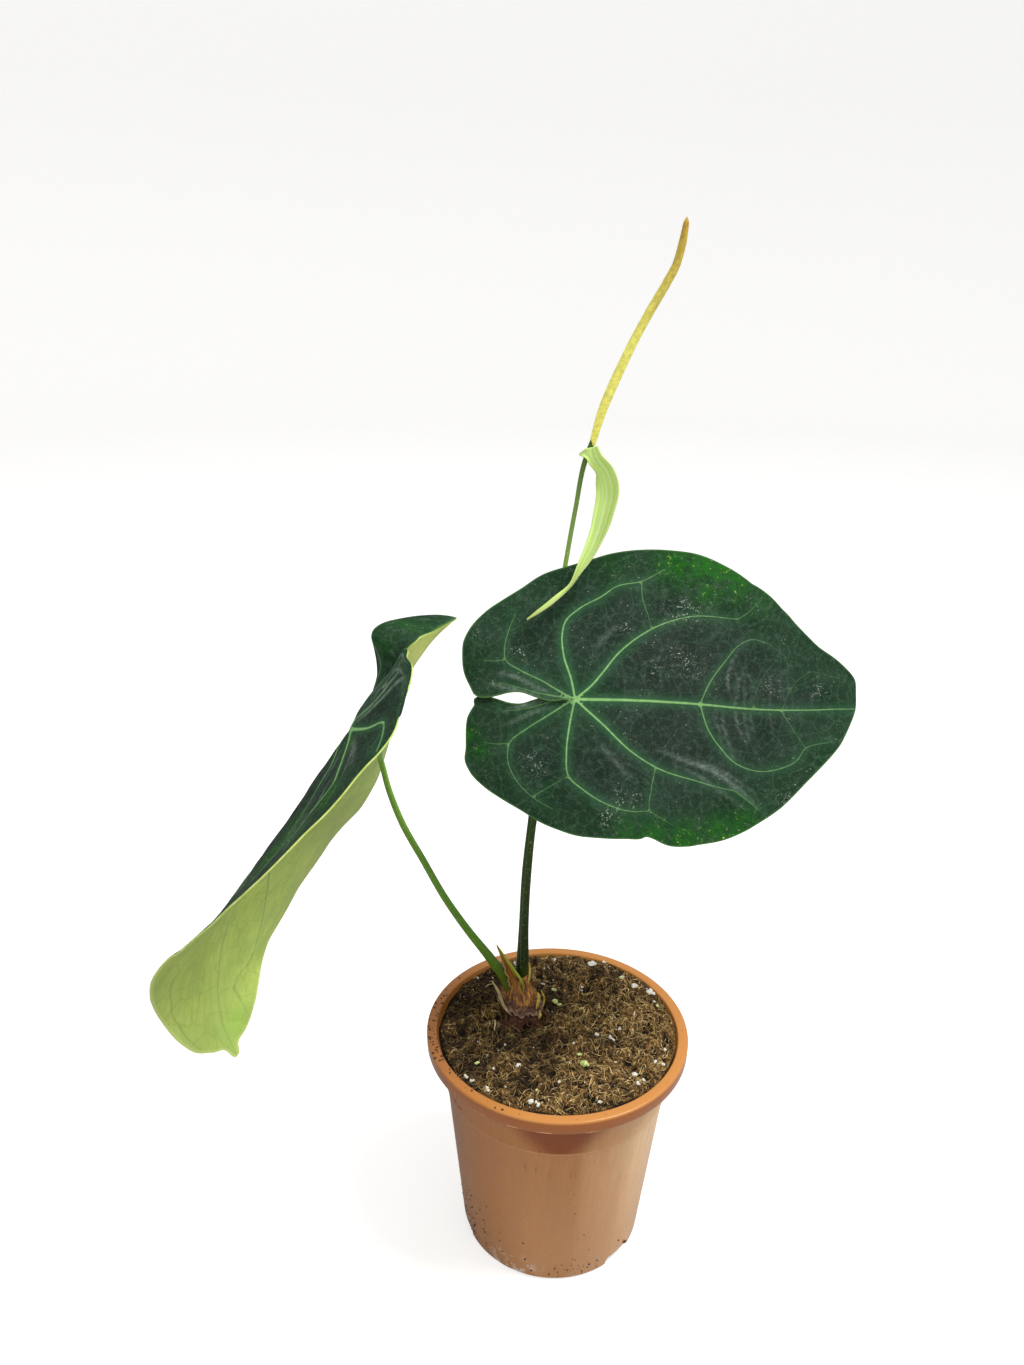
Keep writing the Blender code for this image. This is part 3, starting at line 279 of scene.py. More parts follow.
LEFT_BLADE = dict(
    midrib=(
        (-60, (-49.1, -37.5, 317.6)), (-30, (-63.8, -31.9, 303.7)), (-12, (-75.1, -33.9, 286.9)),
        (0, (-82.8, -36.2, 275.8)), (15, (-92.4, -38.9, 261.9)), (35, (-105.2, -42.7, 243.4)),
        (55, (-118.1, -47.4, 225.1)), (75, (-129.6, -52.9, 206.3)), (95, (-134.9, -60.3, 185.3)),
        (115, (-134.4, -63.9, 163.0)), (131, (-129.8, -63.6, 145.4)), (150, (-122.9, -63.3, 124.8)),
    ),
    side=(0.62, -0.78, 0.0),
    roots=(
        ((-45, -33), (-20, -45), (0, -51), (10, -51), (45, -46), (80, -59), (105, -73), (131, -82)),
        ((-45, 22), (-20, -30), (0, 51), (10, 51), (45, 46), (80, 59), (105, 73), (131, 82)),
    ),
    slopes=(
        ((-45, -15), (-20, -25), (10, -26), (45, -27), (80, -42), (105, -69), (120, -71), (131, -102)),
        ((-45, 91), (-20, 85), (10, 75), (45, 65), (80, 75), (105, 78), (120, 87), (131, 63)),
    ),
    folds=(((-60, 5), (150, 5)), ((-45, 24), (-20, 10.6), (0, 5), (150, 5))),
    turns=(((-45, -10), (-20, 0), (40, -15), (110, -2)), ((-45, 60), (-20, -27), (40, -13), (110, -60))),
    scale=1.142,
    halves=(LEFT_FREE_HALF, LEFT_NOTCHED_HALF),
    overlap=((0, 0), (4, -1.2), (12, -2.6), (24, -3.0), (33, -1.8), (40, 0.0), (60, 0)),
    lift=0.7,
    pushes=(
        (-33.0, -18.0, 8.5, (-8.0, 0.0, 0.3)),
        (-19.0, -11.0, 6.0, (2.5, 0.0, 0.0)),
        (-8.0, -51.0, 12.0, (-3.2, 1.5, 0.0)),
        (-48.0, -14.0, 13.0, (0.0, -2.0, -5.4)),
        (-41.0, -31.0, 8.0, (0.0, 0.0, 1.8)),
        (-36.0, -1.0, 6.0, (-2.4, 0.0, 0.3)),
        (-22.0, -2.0, 9.0, (2.5, 0.0, 0.0)),
        (-22.0, 2.0, 9.0, (2.5, 0.0, 0.0)),
        (-42.0, 4.0, 8.0, (-2.8, 0.0, -3.2)),
        (-30.0, 42.0, 9.0, (-2.2, 0.0, 0.0)),
    ),
)

# Veins of each leaf: strength, half width at the start and at the end, then distance from the junction
# and degrees from the midrib along the vein; positive degrees are on the half that faces +Y or the front
RIGHT_VEINS = (
    (1.0, 0.62, 0.2, ((0, 0), (25, 0.4), (50, 0), (71, 0), (92, -0.3), (108, -1.2), (116.5, -2.2))),
    (0.95, 0.42, 0.16, ((0, 0), (9.2, 41), (15.6, 45), (26.2, 48), (42.8, 44.5), (58, 38.4), (73.2, 30))),
    (0.3, 0.25, 0.15, ((73.2, 30), (80, 30), (88.6, 31))),
    (0.95, 0.42, 0.14, ((0, 0), (7.6, 101), (19.2, 105), (27.1, 102), (32.3, 98), (37.5, 88.5), (44.3, 76.3),
                        (50.3, 70.8), (56.4, 62.5), (65.6, 57.8))),
    (0.6, 0.35, 0.16, ((0, 0), (13.9, 149.7), (25.7, 153.4), (32.4, 151.5), (35.8, 144.1), (39.2, 134.5),
                       (43, 125.5))),
    (0.25, 0.25, 0.15, ((32.4, 151.5), (36.7, 156), (42.4, 158.6))),
    (0.45, 0.3, 0.15, ((0, 0), (10.2, 166), (16.1, 170), (32, 169))),
    (0.5, 0.26, 0.18, ((51, 1), (54.1, 8.5), (63.1, 18), (69.4, 21.6), (76.5, 21.9), (83.5, 18.9))),
    (0.1, 0.22, 0.16, ((83.5, 18.9), (90, 13.5), (88.5, 8.5), (86.6, 3.3), (84, 0))),
    (0.12, 0.2, 0.15, ((86.6, 3.3), (91.7, 6.9), (98.1, 8.5), (110.1, 5.7), (123.1, 2.1))),
    (0.1, 0.2, 0.15, ((72.6, 0), (72.6, 2.4), (75.8, 8.3), (80.8, 12.1), (87.8, 14.5))),
    (0.35, 0.25, 0.16, ((56.4, 62.5), (50.9, 58.7), (45.8, 50.8), (42.8, 44.5))),
    (0.95, 0.42, 0.16, ((0, 0), (15.2, -41), (30.1, -41.6), (42.7, -38.3), (62.5, -30.3), (74.9, -26.6))),
    (0.4, 0.22, 0.14, ((74.9, -26.6), (85.9, -28.5))),
    (0.9, 0.42, 0.14, ((0, 0), (11.2, -100.3), (22.7, -97.6), (31.1, -93.7), (36.7, -83.7), (44.1, -72.2),
                       (50.6, -61.7), (54.4, -54))),
    (0.55, 0.33, 0.15, ((0, 0), (11.1, -144.2), (22.1, -147), (31.9, -144.6), (37.1, -135.5), (40.1, -125.9),
                        (43.1, -111.8), (45.2, -100.2))),
    (0.3, 0.25, 0.15, ((31.9, -144.6), (36.4, -148.5), (40.9, -153))),
    (0.3, 0.22, 0.15, ((42.6, -112.1), (36, -103.7), (31.1, -93.7))),
    (0.6, 0.26, 0.16, ((51, -1), (55.3, -9.9), (63.5, -16), (70.2, -18.7), (77.6, -18.8), (85.4, -16.3),
                       (90.5, -13.4), (93.4, -9.9), (103, -8.1))),
    (0.22, 0.2, 0.15, ((83.5, 0), (87.2, -4.3), (93.3, -9.6))),
    (0.35, 0.24, 0.15, ((42.7, -38.3), (47.8, -48), (54.4, -54), (58.8, -52.3), (64.9, -49.7))),
    (0.4, 0.3, 0.15, ((0, 0), (12, -166), (30, -169))),
)
LEFT_VEINS = (
    (1.0, 0.6, 0.25, ((0, 0), (50, 0), (92, 0), (116, 0), (130, 0))),
    (0.9, 0.5, 0.2, ((0, 0), (9, 62), (18.8, 60), (28, 50), (42.5, 41.5), (60, 34.5), (77, 27.5))),
    (1.25, 0.8, 0.45, ((0, 0), (10.2, 101.3), (20.5, 87.2), (29.8, 81.3), (36.2, 78.8), (40, 69.5), (43, 60),
                      (52, 52))),
    (1.25, 0.7, 0.4, ((0, 0), (13.5, 105.1), (27.2, 110.4), (39.6, 116.2), (45.4, 110.6), (50.7, 104.9))),
    (0.8, 0.45, 0.2, ((0, 0), (10.3, 122), (23.1, 141), (33.9, 160))),
    (0.5, 0.3, 0.16, ((0, 0), (10, 160), (25, 165), (38, 168))),
    (1.0, 0.42, 0.32, ((50, 0), (58, 9), (70, 14.5), (80, 16), (89.6, 15.2), (95, 15.6), (100.8, 12.3),
                      (107.9, 9.3), (109.5, 7.6))),
    (0.4, 0.25, 0.15, ((56, 61), (48, 52), (43, 47))),
    (0.85, 0.4, 0.16, ((0, 0), (15, -41), (30, -41), (43, -36), (59.3, -24), (66.3, -24.1), (80.5, -25))),
    (0.85, 0.4, 0.16, (
        (0, 0), (15, -104), (24.5, -101), (31.5, -96), (37, -87), (44, -74), (56, -61), (68, -53),
    )),
    (0.6, 0.34, 0.16, ((0, 0), (20, -151), (32.5, -148), (36, -141), (42.5, -125), (41, -112), (35, -97))),
    (1.0, 0.4, 0.3, ((50, 0), (63.4, -9.5), (75.4, -13), (88.2, -12.8), (99.7, -8.9), (103.3, -4.2),
                     (112.4, -4.6))),
    (0.6, 0.35, 0.2, ((77, -27.5), (86, -22), (93, -15), (101, -9), (106, -6))),
    (0.7, 0.35, 0.2, ((105.2, -3.5), (112.3, -4.3), (120.9, -4.7))),
    (0.7, 0.35, 0.2, ((108, 9.3), (113, 7.5), (119.5, 5.0))),
    (0.7, 0.35, 0.2, ((74, -11), (64, -20), (58, -30))),
    (0.4, 0.25, 0.15, ((56, -61), (43, -47))),
)
# Soft folds, raised a little and painted with a grey sheen: strength, half width, then the same kind of
# points
RIGHT_FOLDS = (
    (0.55, 0.45, ((71.9, 21.2), (64.6, 16.2), (61.8, 9.3), (64, 2.2))),
    (0.45, 0.4, ((65.1, 17.9), (66.3, 9.1), (65, 0.4), (67.6, -7.7), (73.9, -14.5))),
    (0.65, 0.4, ((59.5, -1.9), (63.1, -10.5), (71.3, -17.5))),
    (0.6, 0.35, ((57, -1), (59, -8), (65, -15), (72, -19))),
    (0.3, 0.35, ((68, 19), (69, 10), (68.5, 1), (70, -7), (76, -14))),
    (0.3, 0.4, ((70, 15), (72, 8), (71, 0), (73, -7), (78, -13))),
    (0.25, 0.4, ((79, 15), (80, 8), (79, 0), (80, -6), (84, -12))),
    (0.75, 0.9, ((39.2, -29.8), (52.5, -26.6), (63.8, -24.6), (74.2, -25.5), (85.4, -27.9))),
    (0.5, 0.5, ((50, -25), (62, -23), (74, -23.5), (84, -26))),
    (0.45, 0.6, ((48, -32), (60, -29), (72, -29), (82, -30))),
    (0.3, 1.2, ((20, 70), (28, 66), (36, 60))),
    (0.3, 1.2, ((18, -60), (30, -56), (40, -52))),
    (0.7, 0.8, ((8, 171), (16, 174.5), (28, 172), (38, 170))),
    (0.6, 0.8, ((6, 160), (16, 163), (26, 161), (36, 163))),
    (0.6, 0.8, ((8, -170), (18, -172), (30, -170))),
    (0.5, 0.8, ((8, -155), (20, -160), (32, -158))),
)
LEFT_FOLDS = (
    (1.2, 0.8, ((3, 168), (12, 173), (24, 174), (36, 172), (43, 168))),
    (1.1, 0.6, ((5, 100), (14, 118), (24, 134), (34, 146), (42, 155))),
    (1.0, 0.6, ((16, 160), (22, 152), (30, 148))),
    (1.0, 0.6, ((24, 166), (31, 158), (38, 153))),
    (0.9, 0.6, ((14, 84), (22, 70), (30, 62))),
    (0.9, 0.6, ((20, 100), (32, 92), (44, 84))),
    (0.8, 0.6, ((36, 62), (46, 52), (56, 42))),
    (0.8, 0.6, ((28, 76), (40, 66), (52, 54))),
    (1.1, 0.8, ((8, 118), (18, 136), (28, 150), (38, 160))),
    (0.8, 0.9, ((9, 112), (20, 128), (32, 142), (42, 152))),
    (0.7, 0.8, ((12, 140), (24, 156), (36, 166))),
    (0.5, 1.4, ((14, 95), (30, 95), (45, 92))),
    (0.5, 1.4, ((30, 60), (45, 48), (58, 36))),
    (0.4, 1.6, ((50, 30), (66, 18), (80, 9))),
)
# Bright young patches, then scuffed spots: distance, degrees, radius, strength
RIGHT_FRESH = (
    (71, 55, 9, 0.8), (77, 50, 8, 1.0), (80, 46, 7, 1.0), (82, 40, 8, 0.9), (70, 42, 7, 0.6),
    (57, -67, 6, 0.5), (63, -58, 6, 0.8), (74, -49, 8, 1.0), (81, -39, 7, 0.9), (84, -33, 6, 0.6),
    (46, -160, 4, 0.8), (44, -150, 4, 0.5), (88, 30, 8, 0.3), (60, 75, 8, 0.25),
)
RIGHT_SCUFFS = (
    (45.6, 27.4, 2.6, 1.0), (36.3, 55.7, 2.0, 0.9), (43.6, -64.9, 3.0, 1.2), (48.1, -57.3, 2.6, 1.2),
    (49.7, -73, 3.4, 0.9), (101.2, 3.4, 3.2, 1.1), (56.6, 42.1, 5.5, 0.8), (48.1, 18.8, 5.0, 0.7),
    (30.7, -120.3, 4.0, 0.7), (48.3, 148.1, 2.0, 0.7), (91, -23, 3.0, 0.6), (36, 20, 5.0, 0.5),
    (60, 38, 5.0, 0.5), (80, 6, 4.0, 0.5), (30, 140, 3.5, 0.6),
)
LEFT_FRESH = (
    (42, 40, 9, 0.8), (50, 30, 8, 0.9), (60, 12, 7, 0.5), (45, 80, 6, 1.0), (51, 66, 6, 0.7),
    (22, 92, 3, 0.7), (42, -161, 6, 0.4), (36, -150, 6, 0.45), (30, -160, 4, 0.4), (119, -2, 6, 0.9),
    (125, -1.4, 5, 0.6),
)
LEFT_SCUFFS = ((32, 62, 2.0, 0.6), (60, 20, 3.0, 0.5))

# Stage, in metres and degrees
CAMERA_PLACE = (-0.0236, -0.4055, 0.4449)
CAMERA_PITCH = 22.0
CAMERA_ROLL = 1.0
LIGHTS_AIM = (-0.01, 0.0, 0.2)
BACKDROP_RADIUS = 2.6
BACKDROP_BEND = 0.9
BACKDROP_TOP = 1.5


def smooth_curve(stations, at):
    """Values of the smooth curve through (position, value) stations, level beyond its ends."""
    place = np.array([s[0] for s in stations], float)
    value = np.array([s[1] for s in stations], float)
    at = np.clip(np.asarray(at, float), place[0], place[-1])
    slope = np.gradient(value, place, axis=0)
    i = np.clip(np.searchsorted(place, at, side="right") - 1, 0, len(place) - 2)
    span = place[i + 1] - place[i]
    t = (at - place[i]) / span
    if value.ndim > 1:
        t = t[..., None]
        span = span[..., None]
    start = (2 * t**3 - 3 * t**2 + 1) * value[i] + (t**3 - 2 * t**2 + t) * span * slope[i]
    return start + (3 * t**2 - 2 * t**3) * value[i + 1] + (t**3 - t**2) * span * slope[i + 1]


def walk(points):
    """Distance along a line of points, from its start."""
    return np.concatenate([[0.0], np.cumsum(np.linalg.norm(np.diff(points, axis=0), axis=1))])


def smooth_route(points, count):
    """Evenly spaced points on the smooth curve through a route's points."""
    points = np.array(points, float)
    along = walk(points)
    return smooth_curve(list(zip(along, points)), np.linspace(0.0, along[-1], count))


def unit(vectors):
    return vectors / np.linalg.norm(vectors, axis=-1, keepdims=True)


def route_frames(route, side):
    """Side and face at each point of a route; the side stays as near the given one as it can."""
    ahead = unit(np.gradient(route, axis=0))
    across = unit(side - ahead * (ahead * side).sum(axis=-1, keepdims=True))
    return across, np.cross(ahead, across)


def between(places, stations, *tables):
    """Rows of each table at places between its stations."""
    for table in tables:
        yield np.stack([np.interp(places, stations, column) for column in table.T], axis=-1)


def polar(distance, angle):
    angle = np.radians(angle)
    return np.stack([distance * np.cos(angle), distance * np.sin(angle)], axis=-1)


def hashed(x, y, z, size):
    """Smooth random values from about -1 to 1 with lumps of one size, for arrays of millimetres."""
    places = np.stack(np.broadcast_arrays(x, y, z), axis=-1).reshape(-1, 3) / size
    values = [noise.noise(Vector(p), noise_basis="PERLIN_ORIGINAL") for p in places]
    return np.array(values).reshape(np.broadcast(x, y, z).shape)


# Materials


def linear(colour):
    """Linear red, green, blue and alpha of a colour written as hexadecimal sRGB."""
    parts = [int(colour[i : i + 2], 16) / 255 for i in (1, 3, 5)]
    return (*(c / 12.92 if c <= 0.04045 else ((c + 0.055) / 1.055) ** 2.4 for c in parts), 1.0)


def add_node(material, kind, *inputs, output=0, **named):
    """Adds a node and gives its numbered output. Inputs in order, or by a name with a capital letter, are
    linked or set, where a colour is hexadecimal or a setting; the other names are the node's settings."""
    tree = material.node_tree
    made = tree.nodes.new("ShaderNode" + kind)
    for name, value in named.items():
        if name.islower():
            setattr(made, name, value)
    ordered = zip((socket for socket in made.inputs if socket.enabled), inputs)
    by_name = ((made.inputs[n.replace("_", " ")], value) for n, value in named.items() if not n.islower())
    for socket, value in (*ordered, *by_name):
        if isinstance(value, bpy.types.NodeSocket):
            tree.links.new(value, socket)
        elif isinstance(value, str):
            socket.default_value = linear(value)
        else:
            socket.default_value = (*value, 1.0) if isinstance(value, Color) else value
    outputs = [socket for socket in made.outputs if socket.enabled]
    return outputs[output] if outputs else made


def new_material(name):
    """An empty material, and the function that adds nodes to it."""
    material = bpy.data.materials.new(name)
    material.use_nodes = True
    material.node_tree.nodes.clear()
    return material, partial(add_node, material)


def finish_material(material, colour, layers, relief=None, depth=0.0001, **sockets):
    """Lays (share, colour) layers over the first colour, where a third value is a way to blend, and ends
    with a Principled shader; relief is a bump of a depth in metres."""
    for share, over, *blend in layers:
        blend_type = blend[0] if blend else "MIX"
        colour = add_node(material, "Mix", share, colour, over, data_type="RGBA", blend_type=blend_type)
    if relief is not None:
        sockets["Normal"] = add_node(material, "Bump", Height=relief, Distance=depth, Strength=1.0)
    shader = add_node(material, "BsdfPrincipled", Base_Color=colour, **sockets)
    add_node(material, "OutputMaterial", Surface=shader)
    return material


def moulded_polypropylene(settings):
    """Injection-moulded polypropylene: satin, faintly mottled by the melt's flow up the wall, with painted
    shade, a painted highlight, a painted sheen band and painted reflections where light would fall on it, and
    pale rubs near the foot."""
    m, add = new_material("Moulded polypropylene")
    place = add("TexCoord", output=3)
    x, y, z = (add("SeparateXYZ", place, output=i) for i in range(3))
    flow, drawn, fine = (
        add("Mapping", Vector=place, Scale=(1.0, 1.0, squeeze)) for squeeze in (0.16, 0.07, 0.03)
    )
    streaks = add("TexNoise", Vector=flow, Scale=1 / 0.007, Detail=4.0, Roughness=0.6)
    clouds = add("TexNoise", Vector=place, Scale=1 / 0.03, Detail=3.0)
    grain = add("TexNoise", Vector=place, Scale=1 / 0.0008, Detail=2.0)
    scratches = add("TexNoise", Vector=drawn, Scale=1 / 0.0011, Detail=1.0)
    brushed = add("TexNoise", Vector=fine, Scale=1 / 0.0014, Detail=3.0)
    marks = add("TexNoise", Vector=place, Scale=1 / 0.005, Detail=6.0, Roughness=0.75)
    specks = add("TexVoronoi", Vector=place, Scale=1 / 0.006)
    turned = add("VectorMath", place, (1.0, 1.0, 0.0), operation="MULTIPLY")
    radius = add("VectorMath", turned, operation="LENGTH")
    heading = add("VectorMath", turned, operation="NORMALIZE")
    sunny, sheen_band, shady, scraped = (
        add("VectorMath", heading, side, operation="DOT_PRODUCT")
        for side in (SUNNY_SIDE, SHEEN_SIDE, SHADY_SIDE, SCRAPED_SIDE)
    )
    # The collar's outer side, darker in painted shade, and the torn flash along its lower edge
    outer = add("MapRange", radius, 0.0591, 0.0597, 0.0, 1.0)
    side_on = add("MapRange", z, 0.1092, 0.1097, 1.0, 0.0)
    collar_side = add("Math", outer, side_on, operation="MULTIPLY")
    ragged = add("MapRange", streaks, 0.4, 0.6, 0.10385, 0.1048)
    over = add("Math", z, ragged, operation="LESS_THAN")
    flash = add("Math", over, collar_side, operation="MULTIPLY")
    # The wall below the collar: darker in painted shade all over, mottled along the flow, with a painted
    # highlight on the lit side, a painted sheen band and painted shade on the far side
    below = add("MapRange", z, 0.1035, 0.1045, 1.0, 0.0)
    mixed = add("Math", streaks, clouds, operation="MULTIPLY")
    # Painted shade: the upright wall is a darker copy of the rim's plastic, in streaky patches
    wall_shade_share = add("MapRange", mixed, 0.12, 0.34, 0.75, 1.0)
    uneven = add("Math", streaks, 0.25, sunny, operation="MULTIPLY_ADD")
    # Painted highlight: the wall lightens on the side towards the light
    side_highlight = add("MapRange", uneven, 0.78, 1.06, 0.0, 0.85)
    # Painted sheen: a pale upright band where the satin wall would reflect the light
    sheen_band = add("MapRange", sheen_band, 0.97, 0.998, 0.0, 0.45, interpolation_type="SMOOTHSTEP")
    # Painted shade: the wall darkens on the side away from the light
    left_shade = add("MapRange", shady, 0.86, 1.0, 0.0, 0.7)
    band = add("MapRange", z, 0.0848, 0.0856, 0.0, 1.0)
    scratch = add("MapRange", scratches, 0.7, 0.76, 0.0, 0.5)
    high = add("MapRange", z, 0.04, 0.075, 0.0, 1.0)
    scratch = add("Math", scratch, high, operation="MULTIPLY")
    dull, side_highlight, sheen_band, left_shade, band, scratch = (
        add("Math", share, below, operation="MULTIPLY")
        for share in (wall_shade_share, side_highlight, sheen_band, left_shade, band, scratch)
    )
    # Painted shade: a dark triangle over the moulding ring at the front, the collar's shadow seen in the
    # satin wall; and a painted highlight along the ring
    aside = add("Math", x, operation="ABSOLUTE")
    narrow = add("MapRange", z, 0.085, 0.0985, 0.0045, 0.016)
    inner = add("Math", narrow, aside, operation="SUBTRACT")
    collar_shadow = add("MapRange", inner, -0.012, 0.005, 0.05, 0.97, interpolation_type="SMOOTHSTEP")
    front = add("MapRange", y, 0.0, -0.02, 0.0, 1.0)
    collar_shadow = add("Math", collar_shadow, front, operation="MULTIPLY")
    # Painted shade: the collar's shadow reflected in the wall, as a dark triangle at the front
    fresh = add("Math", band, collar_shadow, operation="MULTIPLY")
    above = add("Math", z, 0.0847, operation="SUBTRACT")
    off_ring = add("Math", above, operation="ABSOLUTE")
    # Painted highlight: a pale line along the moulding ring
    ring = add("MapRange", off_ring, 0.0002, 0.0005, 0.45, 0.0)
    # Brushed shade, painted shade on the side away from the light, a painted reflection of the floor towards
    # the foot, pale rubs and specks of dirt towards the foot
    shade = add("MapRange", brushed, 0.3, 0.7, 0.95, 1.05)
    # Painted reflection: the wall lightens towards the foot, where it would reflect the pale floor
    low = add("MapRange", z, 0.075, 0.02, 0.0, 0.6)
    # Painted shade: the whole pot darkens on the side away from the light
    shaded_side = add("MapRange", shady, 0.3, 1.0, 0.0, 0.6)
    foot = add("MapRange", z, 0.0, 0.016, 1.0, 0.0)
    rubbed = add("MapRange", marks, 0.5, 0.64, 0.0, 0.8)
    scraped = add("MapRange", scraped, 0.955, 0.985, 0.15, 1.6)
    rubs = add("Math", foot, rubbed, operation="MULTIPLY")
    rubs = add("Math", rubs, scraped, operation="MULTIPLY", use_clamp=True)
    dots = add("MapRange", specks, 0.06, 0.1, 0.8, 0.0)
    chance = add("MapRange", clouds, 0.5, 0.6, 0.0, 1.0)
    chance = add("Math", foot, chance, operation="MAXIMUM")
    dirt = add("Math", dots, chance, operation="MULTIPLY")
    layers = (
        (collar_side, settings.collar_shade_plastic),
        (flash, "#e3a878"),
        (dull, settings.wall_shade_plastic),
        (side_highlight, settings.lit_side_plastic),
        (sheen_band, "#d3a272"),
        (left_shade, "#5f3116"),
        (fresh, "#7f3a03"),
        (ring, "#c99a76"),
        (scratch, "#5f3c22"),
        (below, shade, "MULTIPLY"),
        (low, "#bd8550"),
        (shaded_side, "#7f4618"),
        (rubs, "#e2d8cc"),
        (dirt, "#4a2c19"),
    )
    shine = add("MapRange", grain, 0.3, 0.7, 0.26, 0.38)
    satin = {"Roughness": shine, "IOR": 1.49, "Specular_IOR_Level": 0.4}
    return finish_material(m, settings.plastic, layers, grain, 0.00003, **satin)


def dryness_and_shade(add, place):
    """Where the peat has dried on top, in patches a few centimetres wide, with painted shade: a lean makes it
    least at the back left, so the peat darkens there.
    """
    patch = add("TexNoise", Vector=place, Scale=1 / 0.013, Detail=4.0, Roughness=0.62)
    # Painted shade: the lean darkens the peat towards the back left
    shade_lean = add("VectorMath", place, (2.3, -0.9, 0.0), operation="DOT_PRODUCT")
    both = add("Math", patch, shade_lean, operation="ADD")
    return add("MapRange", both, 0.42, 0.58, 0.0, 1.0)


def milled_peat(settings):
    """Milled peat with coir: near black and crumbly where moist, brown and fibrous where it has dried; near
    black in its hollows and towards the back left as painted shade.
    """
    m, add = new_material("Milled peat")
    place = add("TexCoord", output=3)
    dry = dryness_and_shade(add, place)
    crumbs = add("TexNoise", Vector=place, Scale=1 / 0.0022, Detail=8.0, Roughness=0.75)
    wave = add("TexNoise", Vector=place, Scale=1 / 0.004, Detail=2.0, output=1)
    bent = add("VectorMath", wave, (0.004, 0.004, 0.004), operation="MULTIPLY")
    moved = add("VectorMath", place, bent, operation="ADD")
    crossed = []
    for turn, thickness in ((0.6, 0.0005), (-0.9, 0.0006)):
        drawn = add("Mapping", Vector=moved, Rotation=(0, 0, turn), Scale=(1.0, 0.1, 1.0))
        crossed.append(add("TexNoise", Vector=drawn, Scale=1 / thickness, Detail=2.0))
    fibres = add("Math", *crossed, operation="MAXIMUM")
    fine = add("MapRange", fibres, 0.58, 0.66, 0.0, 0.9)
    strands = add("Math", fine, dry, operation="MULTIPLY")
    bright = add("MapRange", crumbs, 0.42, 0.66, 0.0, 1.0)
    share = add("MapRange", dry, 0.0, 1.0, 0.22, 1.0)
    # Painted shade: hollows lower than their neighbours keep the near-black peat colour
    proud = add("Attribute", output=2, attribute_name="proud")
    open_top = add("MapRange", proud, -0.5, 0.35, 0.0, 1.0)
    share, strands = (add("Math", part, open_top, operation="MULTIPLY") for part in (share, strands))
    tone = add("Math", bright, share, operation="MULTIPLY")
    relief = add("Math", crumbs, strands, operation="ADD")
    layers = ((tone, settings.dry_peat), (strands, "#cba767"))
    return finish_material(
        m, settings.peat, layers, relief, 0.0008, Roughness=0.95, IOR=1.4, Specular_IOR_Level=0.3,
    )


def peat_bits(name, low, high, damp, size):
    """Loose peat or fibre: two tones bit by bit, and a darker one where the ground is moist and, as painted
    shade, towards the back left.
    """
    m, add = new_material(name)
    place = add("TexCoord", output=3)
    blotch = add("TexNoise", Vector=place, Scale=1 / size, Detail=3.0, Roughness=0.6)
    part = add("MapRange", blotch, 0.38, 0.62, 0.0, 1.0)
    tone = add("Mix", part, low, high, data_type="RGBA")
    # Darker where moist and, as painted shade, towards the back left
    kept = add("MapRange", dryness_and_shade(add, place), 0.0, 1.0, 0.2, 1.0)
    return finish_material(
        m, damp, [(kept, tone)], blotch, 0.0002, Roughness=0.92, IOR=1.4, Specular_IOR_Level=0.3,
    )


def mottled(name, low, high, size, roughness, depth=0.0001):
    """Two tones in soft blotches of a size in metres, with a matching bump."""
    m, add = new_material(name)
    blotch = add("TexNoise", Vector=add("TexCoord", output=3), Scale=1 / size, Detail=5.0, Roughness=0.65)
    part = add("MapRange", blotch, 0.35, 0.65, 0.0, 1.0)
    return finish_material(m, low, [(part, high)], blotch, depth, Roughness=roughness)


def papery_sheath(name, light, dark, nerve, hem):
    """Dry sheath tissue: thin glossy paper, with dark nerves aslant, painted golden highlights beside them
    and a frayed hem.
    """
    m, add = new_material(name)
    flat = add("UVMap", uv_map="UVMap")
    drawn = add("Mapping", Vector=flat, Rotation=(0, 0, 0.12), Scale=(16.0, 1.0, 1.0))
    nerves = add("TexNoise", Vector=drawn, Scale=2.4, Detail=5.0, Roughness=0.7)
    age = add("TexNoise", Vector=add("TexCoord", output=3), Scale=1 / 0.004, Detail=4.0)
    old = add("MapRange", age, 0.4, 0.6, 0.0, 1.0)
    line = add("MapRange", nerves, 0.4, 0.56, 0.85, 0.0)
    # Painted highlight: golden gleams beside the nerves
    gleam = add("MapRange", nerves, 0.57, 0.66, 0.0, 0.8)
    edge = add("MapRange", add("SeparateXYZ", flat, output=1), 0.0, 0.12, 0.8, 0.0)
    layers = ((old, dark), (line, nerve), (gleam, "#dcae5a"), (edge, hem))
    return finish_material(m, light, layers, nerves, 0.0004, Roughness=0.42, IOR=1.45)


def young_tissue():
    """Young sheath: half dry and brown, half live and yellow-green, with a pale torn margin."""
    m, add = new_material("Young sheath tissue")
    flat = add("UVMap", uv_map="UVMap")
    across, along = (add("SeparateXYZ", flat, output=i) for i in range(2))
    drawn = add("Mapping", Vector=flat, Scale=(12.0, 1.6, 1.0))
    nerves = add("TexNoise", Vector=drawn, Scale=1.5, Detail=4.0, Roughness=0.65)
    wander = add("Math", nerves, 0.35, across, operation="MULTIPLY_ADD")
    live = add("MapRange", wander, 0.62, 0.76, 0.0, 1.0)
    tone = add("MapRange", nerves, 0.38, 0.62, 0.0, 1.0)
    brown = add("Mix", tone, "#6b3a14", "#b57a2c", data_type="RGBA")
    green = add("Mix", tone, "#8a9a1e", "#bcc240", data_type="RGBA")
    high = add("MapRange", along, 0.7, 1.0, 0.0, 0.8)
    margin = add("MapRange", across, 0.0, 0.06, 0.6, 0.0)
    layers = ((live, green), (high, "#a9b44a"), (margin, "#dcc9a4"))
    return finish_material(m, brown, layers, nerves, 0.0003, Roughness=0.42, IOR=1.45)


